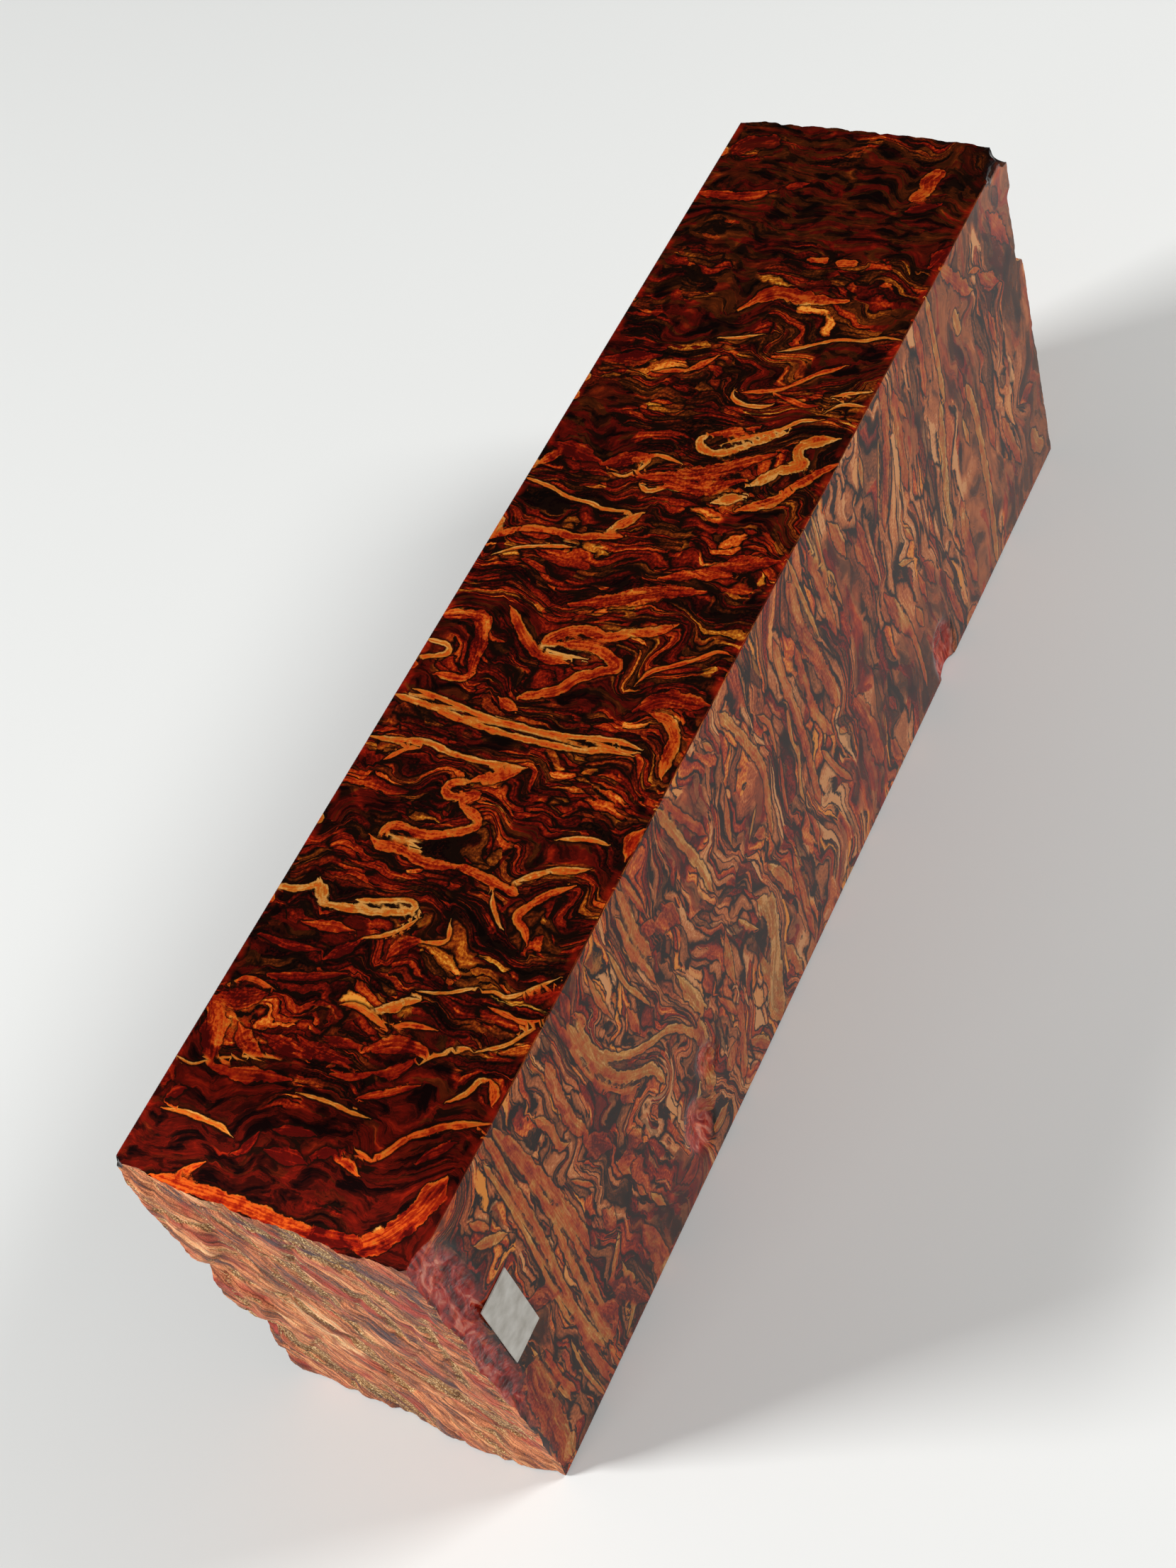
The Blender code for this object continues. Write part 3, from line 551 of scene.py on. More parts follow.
    (EMBER, 1.2, LEAF, ((107.5, 28.8), (107.2, 33.7), (107.5, 41.7))),
    (EMBER, 0.8, LEAF, ((101.1, 33.7), (101.7, 38.5), (102.7, 43.3))),
    (RED, 1.0, LENS, ((97.2, 27), (98, 28.8), (98.5, 31.7))),
    (ORANGE, 0.9, LENS, ((93.7, 30.4), (94.4, 33.7))),
    (EMBER, 0.7, LENS, ((95.6, 27), (96.3, 31.4))),
    (ORANGE, 0.5, LEAF, ((90.8, 27.2), (91.8, 32), (92.3, 36.9), (92.4, 41.7))),
    (ORANGE, 0.6, LENS, ((95, 19.2), (96, 21.8))),
    (TAN, 0.5, LENS, ((92.4, 21.8), (95, 24))),
    (RED, 0.7, LENS, ((112.3, 13.8), (112.3, 18))),
    (EMBER, 0.9, LEAF, ((116.5, 19.9), (117.1, 25), (117.1, 30.4))),
    (EMBER, 1.2, LENS, ((120.3, 8), (121.9, 10.3), (124.2, 12.5))),
    (ORANGE, 0.5, LENS, ((118.4, 5.8), (120.6, 7.4))),
    (EMBER, 0.8, LENS, ((121, 13.8), (121.6, 19.2))),
    (RED, 1.4, LENS, ((124.2, 3.2), (126.4, 7.4), (128, 10.6))),
    (TAN, 0.3, LEAF, ((116.2, 6), (118.4, 8.3))),
    (EMBER, 1.3, LENS, ((125, 31.4), (128.3, 32))),
    (EMBER, 0.9, LEAF, ((120, 28.8), (121.3, 33.7), (122.6, 38.5))),
    (POOL, 1.3, LENS, ((103, 3), (102.5, 12), (102, 28))),
    (POOL, 1.0, LENS, ((121.3, 23.7), (122, 25.3))),
    (POOL, 1.0, LENS, ((126.4, 1.9), (126.7, 4.2))),
    (POOL, 1.0, LENS, ((63.8, 1), (64.2, 6.4))),
    (POOL, 0.9, LENS, ((62.6, 26.3), (62.2, 35.3), (62.6, 40))),
    (POOL, 0.5, LENS, ((69.9, 12.8), (70.6, 16.7))),
    (POOL, 0.9, LENS, ((22.4, 1), (22, 3.2))),
    (POOL, 1.0, LENS, ((21.2, 33), (21.8, 36))),
    (POOL, 0.8, LENS, ((38.5, 12), (40, 14.4), (39.4, 16.7))),
    (POOL, 0.6, LENS, ((42, 29.8), (41.3, 35.3))),
    (POOL, 0.8, LENS, ((48.8, 24), (51, 32), (50.4, 35.3))),
    (POOL, 0.5, LENS, ((74, 24.7), (77, 28.2))),
    (POOL, 0.7, LENS, ((82.8, 28.8), (81.8, 38.5))),
)

# Granular seams of the near end: half width in mm, then points (y, z) in mm
NEAR_END_SEAMS = (
    (0.8, ((7, 39), (5, 36), (3, 33))),
    (0.8, ((2, 34), (1, 31), (-0.5, 28))),
    (0.6, ((-4, 33), (-6, 30), (-6.5, 27), (-6, 25))),
    (0.7, ((8, 30), (4.5, 26.5), (0, 22))),
    (0.6, ((6, 23.5), (5, 21), (3.5, 19))),
    (0.8, ((2, 18), (0.5, 14), (-1, 9))),
    (0.6, ((-3, 16), (-4.5, 14.5), (-6, 13))),
    (0.9, ((-6, 15), (-9, 11), (-12, 7))),
    (0.5, ((-10.5, 30), (-10.7, 24), (-10.3, 18))),
    (0.7, ((15, 11), (12, 9), (9, 8))),
    (0.6, ((3, 5), (1.5, 3), (0, 1))),
    (0.8, ((-1, 39.5), (-5, 38.6), (-10, 37.5))),
    (0.5, ((12, 44), (8, 42.4), (3, 41.4), (-3, 41.6))),
    (0.5, ((14, 37), (10, 36), (8, 35))),
    (0.4, ((11, 26), (12, 23.5), (7, 23.5))),
    (0.9, ((15, 15), (12, 9), (7, 4), (2, 0.5))),
)

# Rose-red streaks of the near end, written as the seams are
NEAR_END_ROSES = (
    (0.9, ((-1.2, 33.6), (-3.4, 31.5), (-5.4, 29.6))),
    (0.9, ((14.9, 29), (14.2, 23.1), (14, 19.3), (12.9, 16.1))),
    (0.7, ((14.9, 42), (14.9, 36), (14.7, 30))),
    (0.8, ((4, 42), (1.8, 40.2), (-0.4, 37.8), (-2.6, 36.8))),
    (1.1, ((-11, 37.5), (-11.8, 34), (-12, 29))),
    (0.9, ((-12.5, 22), (-13, 14), (-13.5, 7))),
    (0.7, ((8, 14), (5.6, 11), (4, 8))),
    (0.6, ((10, 33), (8, 30.5), (6, 28))),
)

# Patches of the near end with a tone of their own: tone, middle (y, z), reach across and up, in mm
NEAR_END_PATCHES = (
    (-0.35, (-5, 41.2), 9, 2.2),
    (-0.15, (-11, 36.5), 3, 4),
    (-0.1, (6, 41.5), 5, 1.8),
    (-0.2, (9, 35.5), 3.5, 1.2),
    (0.3, (-7, 28), 3.5, 4.5),
    (0.3, (-9, 17), 3, 6),
    (0.85, (10.5, 20), 3, 4.5),
    (0.95, (4.5, 19.5), 3.5, 5),
    (0.75, (12.5, 35), 2.5, 3.5),
    (0.7, (9.5, 27.5), 2.2, 2.4),
    (-0.1, (13.5, 9), 1.6, 4),
    (-0.1, (-3, 24), 3.5, 1.2),
    (0.2, (4, 4), 4.5, 2),
)


def hex_colour(text):
    """An sRGB hex colour as linear RGBA."""
    channels = [int(text[place : place + 2], 16) / 255 for place in (1, 3, 5)]
    linear = [c / 12.92 if c <= 0.04045 else ((c + 0.055) / 1.055) ** 2.4 for c in channels]
    return (*linear, 1.0)


def add(tree, kind, inputs=(), **settings):
    """Adds a shader node with its settings. Inputs are values, or the output sockets that feed them."""
    made = tree.nodes.new("ShaderNode" + kind)
    for name, value in settings.items():
        setattr(made, name, value)
    for name, value in dict(inputs).items():
        if isinstance(value, bpy.types.NodeSocket):
            tree.links.new(value, made.inputs[name])
        else:
            made.inputs[name].default_value = value
    return made.outputs


def colour_stops(outputs, places, colours):
    """Gives a Color Ramp its stops, from left to right: their places and their hex colours."""
    ramp = outputs[0].node.color_ramp
    while len(ramp.elements) < len(places):
        ramp.elements.new(0.5)
    for element, place, colour in zip(ramp.elements, places, colours):
        element.position = place
        element.color = hex_colour(colour)
    return outputs[0]


def new_material(name):
    material = bpy.data.materials.new(name)
    material.use_nodes = True
    material.node_tree.nodes.clear()
    return material, material.node_tree


def smooth_share(value):
    """0 to 1, eased at both ends."""
    value = np.clip(value, 0.0, 1.0)
    return value * value * (3.0 - 2.0 * value)


def only_select(part, edges=None, faces=None):
    """In edit mode, selects the edges or the faces that the test picks, and nothing else."""
    bpy.ops.mesh.select_all(action="DESELECT")
    bpy.ops.mesh.select_mode(type="EDGE" if edges else "FACE")
    shape = bmesh.from_edit_mesh(part.data)
    for edge in shape.edges if edges else ():
        if edges(edge):
            edge.select_set(True)
    for face in shape.faces if faces else ():
        if faces(face):
            face.select_set(True)
    bmesh.update_edit_mesh(part.data)


def is_end_face(face):
    return abs(face.normal.x) > STRAIGHT


def is_fine_face(face):
    """The top, the front and the ends carry more detail than the hidden faces."""
    return face.normal.z > STRAIGHT or face.normal.y < -STRAIGHT or is_end_face(face)


def is_long_arris(edge):
    """An arris between two long faces."""
    faces = edge.link_faces
    if len(faces) != 2 or abs(faces[0].normal.dot(faces[1].normal)) >= SQUARE:
        return False
    return all(abs(face.normal.x) < SQUARE for face in faces)


def sawn_box():
    """The block as sawn: a box whose faces are divided finely enough to carry the figure and the relief."""
    bpy.ops.object.select_all(action="DESELECT")
    bpy.ops.mesh.primitive_cube_add(size=1.0, location=(0, 0, HEIGHT * MM / 2))
    block = bpy.context.object
    block.scale = (LENGTH * MM, WIDTH * MM, HEIGHT * MM)
    bpy.ops.object.transform_apply(location=True, rotation=True, scale=True)
    bpy.ops.object.mode_set(mode="EDIT")

    # The length is divided in two rounds, since one round makes at most 100 cuts
    lengths, widths, heights = (round(size / GRID) for size in (LENGTH, WIDTH, HEIGHT))
    for axis, pieces in ((0, lengths // 10), (0, 10), (1, widths), (2, heights)):

        def runs_along(edge):
            run = edge.verts[1].co - edge.verts[0].co
            return abs(run[axis]) > STRAIGHT * run.length

        only_select(block, edges=runs_along)
        bpy.ops.mesh.subdivide(number_cuts=pieces - 1)
    for is_halved in (is_fine_face, is_end_face):
        only_select(block, faces=is_halved)
        bpy.ops.mesh.subdivide(number_cuts=1)
    only_select(block, edges=is_long_arris)
    bpy.ops.mesh.bevel(offset=ARRIS_BREAK * MM, segments=1, affect="EDGES")
    bpy.ops.object.mode_set(mode="OBJECT")
    return block


def ledge_push(ledge, y, z):
    """How far one ledge moves the end at (y, z). Its outline is an ellipse and its edge a slope."""
    middle_y, middle_z, across, up, push, slope = ledge
    away = np.hypot((y - middle_y) / across, (z - middle_z) / up)
    return push * smooth_share((1.0 - away) / slope)


def scale_at(y, z, seed):
    """The plant scale at (y, z) of an end: its height, how near its edge is (0 to 1) and a chance value."""
    place = Vector((y / SCALE_WIDTH, z / SCALE_HEIGHT, seed))
    distances, middles = noise.voronoi(place, distance_metric="DISTANCE")
    chance = noise.noise(middles[0] * TONE_SPREAD)
    tilt = (middles[0].y - place.y) * SCALE_TILT
    edge = min(1.0, (distances[1] - distances[0]) / GROOVE_SHARE)
    return chance * SCALE_STEP + tilt - GROOVE_DEPTH * (1.0 - edge), 1.0 - edge, chance


def smooth_curve(points, spacing):
    """Points along a Catmull-Rom curve through the given ones, about the given distance apart."""
    points = [np.array(point, float) for point in points]
    ghosts = [2 * points[0] - points[1], *points, 2 * points[-1] - points[-2]]
    made = []
    for a, b, c, d in zip(ghosts, ghosts[1:], ghosts[2:], ghosts[3:]):
        bend = 2 * a - 5 * b + 4 * c - d
        twist = 3 * b - a - 3 * c + d
        steps = max(2, round(float(np.linalg.norm(c - b)) / spacing))
        for t in np.arange(steps) / steps:
            made.append(0.5 * (2 * b + (c - a) * t + bend * t**2 + twist * t**3))
    made.append(points[-1])
    return np.array(made)


# Places in mm on the four long faces: u from the near end, and v from the back edge of the top, the top edge
# of the front, the lowest edge of the back or the front edge of the underside


def on_top(u, v):
    return (u - LENGTH / 2, WIDTH / 2 - v, HEIGHT)


def on_front(u, v):
    return (u - LENGTH / 2, -WIDTH / 2, HEIGHT - v)


def on_back(u, v):
    return (u - LENGTH / 2, WIDTH / 2, v)


def on_underside(u, v):
    return (u - LENGTH / 2, v - WIDTH / 2, 0.0)


def wandering_ribbons(count, breadth, seed):
    """Ribbons for a face that the photo hides, of the same tones and bends as those that it shows. All are
    wide enough for the coarser grid of these faces. Dark ones are short lenses and pale ones long bands."""
    chance = random.Random(seed)
    made = []
    for _ in range(count):
        tone = chance.choice((RED, EMBER, ORANGE, ORANGE, TAN, TAN, YELLOW))
        is_dark = tone <= EMBER
        half_width = chance.uniform(0.8, 1.6) if is_dark else chance.uniform(0.6, 0.95)
        upright = heading = chance.choice((-1, 1)) * math.pi / 2
        u, v = chance.uniform(1, LENGTH - 1), chance.uniform(0, breadth)
        points = [(u, v)]
        bend = 0.15 if is_dark else 0.35
        for _ in range(chance.randint(2, 3) if is_dark else chance.randint(3, 7)):
            heading = upright + 0.6 * (heading - upright) + chance.gauss(0, bend)
            stride = chance.uniform(1.5, 3.0)
            u += stride * math.cos(heading)
            v += stride * math.sin(heading)
            points.append((u, v))
        made.append((tone, half_width, LENS if is_dark else BLUNT, tuple(points)))
    return made


def all_ribbons():
    """Every ribbon as (tone, half width, taper, points on its face, the face's outward direction)."""
    faces = (
        (TOP_RIBBONS, on_top, (0, 0, 1)),
        (FRONT_RIBBONS, on_front, (0, -1, 0)),
        (wandering_ribbons(60, HEIGHT, seed=8), on_back, (0, 1, 0)),
        (wandering_ribbons(40, WIDTH, seed=6), on_underside, (0, 0, -1)),
    )
    for ribbons, place, outward in faces:
        for tone, half_width, taper, points in ribbons:
            yield tone, half_width, taper, [place(u, v) for u, v in points], outward


def flow_without_ribbons(places):
    """How many mm of packed scales lie between the near end and each place, before ribbons bend them."""
    (slow_reach, slow_size), (quick_reach, quick_size) = SLOW_SWAY, QUICK_SWAY
    made = np.empty(len(places))
    for number, place in enumerate(places):
        slow = noise.noise(Vector(place / slow_size))
        quick = noise.noise(Vector(place / quick_size + QUICK_SWAY_START))
        made[number] = place[0] + slow_reach * slow + quick_reach * quick
    return made


def ribbon_widths(half_width, taper, count):
    """The half width at each of a ribbon's points. It narrows towards both ends."""
    share = np.linspace(0.0, 1.0, count)
    if taper != LENS:
        taper = min(taper, NARROWING / (count * RIBBON_SPACING))
    narrowed = smooth_share(np.minimum(share, 1 - share) / taper)
    return RIBBON_SHARE * half_width * np.sqrt(narrowed * (1 - TIP_SHARE) + TIP_SHARE)


def figure_of(places):
    """For each place on the block, in mm: the nearest ribbon's signed distance, plain distance, distance
    along it, half width and tone, and the flow of the scales, which bends round the ribbons."""
    count = len(places)
    edge = np.full(count, RIBBON_REACH)
    cross = np.full(count, RIBBON_REACH)
    away = np.full(count, RIBBON_REACH)
    along = np.zeros(count)
    half = np.full(count, FAR_HALF_WIDTH)
    tone = np.full(count, TAN)
    plain_flow = flow_without_ribbons(places)
    flow_sum = plain_flow * PLAIN_FLOW
    flow_weight = np.full(count, PLAIN_FLOW)
    start = 0.0
    for ribbon_tone, half_width, taper, points, outward in all_ribbons():
        line = smooth_curve(points, RIBBON_SPACING)
        tangent = np.gradient(line, axis=0)
        tangent /= np.linalg.norm(tangent, axis=1)[:, None] + 1e-9
        side = np.cross(outward, tangent)
        widths = ribbon_widths(half_width, taper, len(line))
        steps = start + np.arange(len(line)) * RIBBON_SPACING
        start += NEXT_PATTERN
        low, high = line.min(0) - RIBBON_REACH, line.max(0) + RIBBON_REACH
        near = np.nonzero(((places > low) & (places < high)).all(1))[0]
        if not len(near):
            continue
        offsets = places[near][:, None, :] - line[None, :, :]
        distance = np.linalg.norm(offsets, axis=2)
        best = np.argmin(distance - widths[None, :], axis=1)
        rows = np.arange(len(near))
        reach = distance[rows, best]
        signed = reach * np.where((offsets[rows, best] * side[best]).sum(1) < 0, -1.0, 1.0)
        outside = reach - widths[best]
        weight = np.exp(-((np.maximum(outside, 0.0) / FLOW_REACH) ** 2))
        turn = 1.0 if side[:, 0].sum() >= 0 else -1.0
        middle = plain_flow[near[np.argmin(reach)]]
        flow_sum[near] += weight * (middle + turn * signed)
        flow_weight[near] += weight
        nearer = outside < edge[near]
        chosen, pick = near[nearer], best[nearer]
        edge[chosen] = outside[nearer]
        cross[chosen] = signed[nearer]
        away[chosen] = reach[nearer]
        along[chosen] = steps[pick]
        half[chosen] = widths[pick]
        tone[chosen] = ribbon_tone
    return cross, away, along, half, tone, flow_sum / flow_weight


def seam_weight(places, seams):
    """How deep each place of the near end lies in one of the seams, from 0 to 1. The weight is full up to
    three eighths of the half width, and gone at one and five eighths of it."""
    weight = np.zeros(len(places))
    for half_width, points in seams:
        line = smooth_curve(points, SEAM_SPACING)
        distance = np.linalg.norm(places[:, None, :] - line[None, :, :], axis=2).min(1)
        weight = np.maximum(weight, smooth_share(1.3 - distance / half_width * 0.8))
    return weight


def fine_relief(y, z, wobble, seed):
    """The streaks, the fibres along them and the grain, at (y, z) of an end, in mm."""
    along = y * STREAK_ALONG[0] + z * STREAK_ALONG[1]
    aside = y * STREAK_ACROSS[0] + z * STREAK_ACROSS[1] + 0.3 * wobble
    streak_reach, streak_width, streak_length = STREAK_RELIEF
    fibre_reach, fibre_width, fibre_length = FIBRE_RELIEF
    grain_reach, grain_size = GRAIN_RELIEF
    streak = noise.noise(Vector((aside / streak_width, along / streak_length, seed)))
    fibre = noise.noise(Vector((aside / fibre_width, along / fibre_length, seed)))
    grain = noise.noise(Vector((y / grain_size, z / grain_size, seed)))
    return streak_reach * streak, fibre_reach * fibre, grain_reach * grain


def roughen_end(places, side, ledges, seed, solid_reach):
    """Moves the end at +X (side 1) or -X (side -1) along the block, at most as far from the middle as the
    solids reach. Gives each place's scale tone, seam and rose-red share."""
    depth = (places[:, 0] * side - (LENGTH / 2 - END_BAND)) / END_BAND
    band = np.nonzero(depth > 1e-6)[0]
    y, z = places[band, 1], places[band, 2]
    push = sum(ledge_push(ledge, y, z) for ledge in ledges)
    seam = np.zeros(len(band))
    rose = np.zeros(len(band))
    chance = np.zeros(len(band))
    waver_reach, waver_width, waver_height = WAVER
    for row, (across, up) in enumerate(zip(y, z)):
        wobble = noise.noise(Vector((across / waver_width, up / waver_height, seed))) * waver_reach
        height = scale_at(across, up, seed)[0]
        _, near_edge, own = scale_at(across + wobble, up + wobble * 1.5, seed)
        streak, fibre, grain = fine_relief(across, up, wobble, seed)
        push[row] += height + streak + fibre + grain
        seam[row] = PLAIN_SEAM * near_edge
        chance[row] = own
    tone = np.clip(END_TONE + END_TONE_RANGE * chance, 0.0, 1.0)
    if side < 0:
        drawn = seam_weight(np.column_stack((y, z)), NEAR_END_SEAMS)
        rose = seam_weight(np.column_stack((y, z)), NEAR_END_ROSES)
        push -= SEAM_DEPTH * drawn
        seam = np.maximum(seam * PLAIN_SEAM_AMONG_DRAWN, drawn)
        for patch_tone, (middle_y, middle_z), across, up in NEAR_END_PATCHES:
            share = smooth_share(1.6 - np.hypot((y - middle_y) / across, (z - middle_z) / up))
            tone += (patch_tone - tone) * share
    push = np.minimum(push, solid_reach - LENGTH / 2)
    places[band, 0] += side * push * depth[band]
    return band, tone, seam, rose


def hollow_depth(x, z, hollow):
    """How deep one hollow is at (x, z) of the front face: the part of an ellipsoid that lies in the
    block."""
    middle_x, middle_z, half_x, half_z, depth = hollow
    reach = HOLLOW_ROUNDING * depth
    spread = math.sqrt(1.0 - ((reach - depth) / reach) ** 2)
    away = ((x - middle_x) * spread / half_x) ** 2 + ((z - middle_z) * spread / half_z) ** 2
    return np.maximum(0.0, reach * np.sqrt(np.maximum(0.0, 1.0 - away)) - (reach - depth))


def sink_hollows(places):
    """Presses the hollows into the front face. Gives their depth at each place near that face, in mm."""
    x, z = places[:, 0], places[:, 2]
    depth = np.zeros(len(places))
    for hollow in FRONT_HOLLOWS:
        depth = np.maximum(depth, hollow_depth(x, z, hollow))
    share = np.clip(1.0 - (places[:, 1] + WIDTH / 2) / HOLLOW_BAND, 0.0, 1.0)
    for row in np.nonzero((depth > 0) & (share > 0))[0]:
        lump = noise.noise(Vector(places[row] / HOLLOW_LUMPS))
        depth[row] *= 1.0 + HOLLOW_ROUGHNESS * lump
    places[:, 1] += depth * share
    return np.where(share > 0, depth, 0.0)


def break_corners(places):
    """Pushes what lies inside a chip out to the chip's lumpy surface. Gives the share of black where it
    did."""
    broken = np.zeros(len(places))
    for number, chip in enumerate(CORNER_CHIPS):
        middle, radii, black = np.array(chip[:3]), np.array(chip[3:6]), chip[6]
        away = (places - middle) / radii
        distance = np.linalg.norm(away, axis=1)
        for row in np.nonzero(distance < 1.0 + CHIP_ROUGHNESS)[0]:
            direction = Vector(away[row]).normalized()
            lump = noise.noise(direction * CHIP_LUMPS + Vector((number * NEXT_CHIP, 0, 0)))
            surface = 1.0 + CHIP_ROUGHNESS * lump
            if distance[row] < surface:
                places[row] = middle + np.array(direction) * surface * radii
                broken[row] = black
    return broken


def read_mesh(items, field, width, kind):
    """One field of all of a mesh's items, as rows of the given width."""
    values = np.empty(len(items) * width, kind)
    items.foreach_get(field, values)
    return values.reshape(-1, width) if width > 1 else values


def set_attribute(mesh, name, values):
    """A value or a vector for each corner point of the mesh, for the materials to read."""
    kind, field = ("FLOAT", "value") if values.ndim == 1 else ("FLOAT_VECTOR", "vector")
    attribute = mesh.attributes.new(name, kind, "POINT")
    attribute.data.foreach_set(field, values.astype(np.float32).ravel())


def make_block():
    """The block: sawn, torn at its ends, hollowed and chipped, with its figure stored on the mesh."""
    block = sawn_box()
    block.name = block.data.name = "scales_in_resin"
    mesh = block.data
    is_end = np.abs(read_mesh(mesh.polygons, "normal", 3, np.float32)[:, 0]) > STRAIGHT
    places = read_mesh(mesh.vertices, "co", 3, np.float32).astype(float) / MM
    on_front_face = places[:, 1] < -WIDTH / 2 + ON_FACE
    end_look = np.zeros((len(places), 3))
    end_rose = np.zeros(len(places))
    for side, ledges, seed, solid_end in (
        (-1, NEAR_END_LEDGES, NEAR_END_SEED, cad_box[0][0]),
        (1, FAR_END_LEDGES, FAR_END_SEED, cad_box[1][0]),
    ):
        band, tone, seam, rose = roughen_end(places, side, ledges, seed, abs(solid_end) / MM)
        end_look[band, 0] = tone
        end_look[band, 1] = seam
        end_rose[band] = rose
    end_look[:, 2] = sink_hollows(places) * on_front_face
    chipped = break_corners(places)
    mesh.vertices.foreach_set("co", (places * MM).astype(np.float32).ravel())
    cross, away, along, half, tone, flow = figure_of(places)
    set_attribute(mesh, "ribbon", np.column_stack((cross, away, along)))
    set_attribute(mesh, "ribbon_form", np.column_stack((half, tone, flow)))
    set_attribute(mesh, "end_look", end_look)
    set_attribute(mesh, "end_rose", end_rose)
    set_attribute(mesh, "on_front_face", on_front_face.astype(float))
    set_attribute(mesh, "chipped", chipped)

    # The ends' faces are torn, but for those that a chip bares
    corners = read_mesh(mesh.loops, "vertex_index", 1, np.int32)
    first_corners = read_mesh(mesh.polygons, "loop_start", 1, np.int32)
    is_torn = is_end & (np.maximum.reduceat(chipped[corners], first_corners) == 0)
    mesh.materials.append(polished_material())
    mesh.materials.append(torn_material())
    mesh.polygons.foreach_set("material_index", is_torn.astype(np.int32))
    mesh.update()
    bpy.ops.object.shade_smooth_by_angle(angle=math.radians(SMOOTH_ANGLE))
    return block


def place_in_mm(tree):
    """The place on the block or the slip, in mm."""
    metres = add(tree, "TexCoord")["Object"]
    return add(tree, "VectorMath", {0: metres, 1: (1 / MM,) * 3}, operation="MULTIPLY")[0]


def stored_vector(tree, name):
    """The three values that the mesh stores for its points under this name."""
    return add(tree, "SeparateXYZ", {0: add(tree, "Attribute", attribute_name=name)["Vector"]})


def sum_of_shares(tree, start, parts):
    """The start, plus each part's value times its share."""
    for value, share in parts:
        start = add(tree, "Math", {0: value, 1: share, 2: start}, operation="MULTIPLY_ADD")[0]
    return start


def thin_lines(tree, pattern):
    """How far a noise pattern is from its middle value, which it crosses along thin wandering lines."""
    away = add(tree, "Math", {0: pattern, 1: 0.5}, operation="SUBTRACT")[0]
    return add(tree, "Math", {0: away}, operation="ABSOLUTE")[0]


def stretched(tree, flow, size):
    """The flow, squeezed so that one scale of this thickness and length, in mm, takes up one unit."""
    thickness, length = size
    shrink = (1 / thickness, 1 / length, 1 / (length * BREADTH_TO_LENGTH))
    return add(tree, "VectorMath", {0: flow, 1: shrink}, operation="MULTIPLY")[0]


def packed_scales(tree, flow, size):
    """Scales of one size: three chance values for each scale, and how far the spot lies from its edge."""
    place = stretched(tree, flow, size)
    chances = add(tree, "TexVoronoi", {"Vector": place, "Scale": 1.0}, feature="F1")["Color"]
    edge = add(tree, "TexVoronoi", {"Vector": place, "Scale": 1.0}, feature="DISTANCE_TO_EDGE")[0]
    return add(tree, "SeparateColor", {0: chances}), edge


def buckled_flow(tree, place, spot, plain_flow, front):
    """The flow of the scales, buckled by knots and by a fine tremor. The broad front face cuts the scales
    flatter than the top does, so they look larger there, and its far half is the calmer one."""
    first, last = FRONT_CALMS
    calmer = add(tree, "MapRange", {0: spot[0], 1: first, 2: last, 3: 0.0, 4: -0.65})[0]
    strength = add(tree, "Math", {0: calmer, 1: front, 2: 1.0}, operation="MULTIPLY_ADD")[0]
    knots = add(tree, "TexNoise", {"Vector": place, "Scale": 1 / KNOT_SIZE, "Detail": 1.0})["Color"]
    knots = add(tree, "VectorMath", {0: knots, "Scale": strength}, operation="SCALE")[0]
    tremor = add(tree, "TexNoise", {"Vector": place, "Scale": 1 / TREMOR_SIZE, "Detail": 2.0})["Color"]
    flow = add(tree, "CombineXYZ", {0: plain_flow, 1: spot[1], 2: spot[2]})[0]
    for push, reach in ((knots, KNOT_REACH), (tremor, TREMOR_REACH)):
        flow = add(tree, "VectorMath", {0: push, 1: reach, 2: flow}, operation="MULTIPLY_ADD")[0]
    larger = add(tree, "MapRange", {0: spot[0], 1: first, 2: last, 3: -0.26, 4: -0.42})[0]
    closeness = add(tree, "Math", {0: larger, 1: front, 2: 1.0}, operation="MULTIPLY_ADD")[0]
    return add(tree, "VectorMath", {0: flow, "Scale": closeness}, operation="SCALE")[0]


def scales_of_three_kinds(tree, flow):
    """Plates, small flakes and long thin sheets, each kind in places of its own. Gives three chance values
    for each scale, and how far the spot lies from its edge."""
    kinds = stretched(tree, flow, KIND_PLACES)
    kind = add(tree, "TexNoise", {"Vector": kinds, "Scale": 1.0, "Detail": 2.0})[0]
    is_flake = add(tree, "MapRange", {0: kind, 1: 0.45, 2: 0.46, 3: 1.0, 4: 0.0})[0]
    is_sheet = add(tree, "MapRange", {0: kind, 1: 0.53, 2: 0.54, 3: 0.0, 4: 1.0})[0]
    chances, edge = packed_scales(tree, flow, PLATES)
    for is_other, size in ((is_flake, FLAKES), (is_sheet, SHEETS)):
        others, other_edge = packed_scales(tree, flow, size)
        chances = [
            add(tree, "Mix", {0: is_other, 2: chances[channel], 3: others[channel]})[0]
            for channel in range(3)
        ]
        edge = add(tree, "Mix", {0: is_other, 2: edge, 3: other_edge})[0]
    return chances, edge


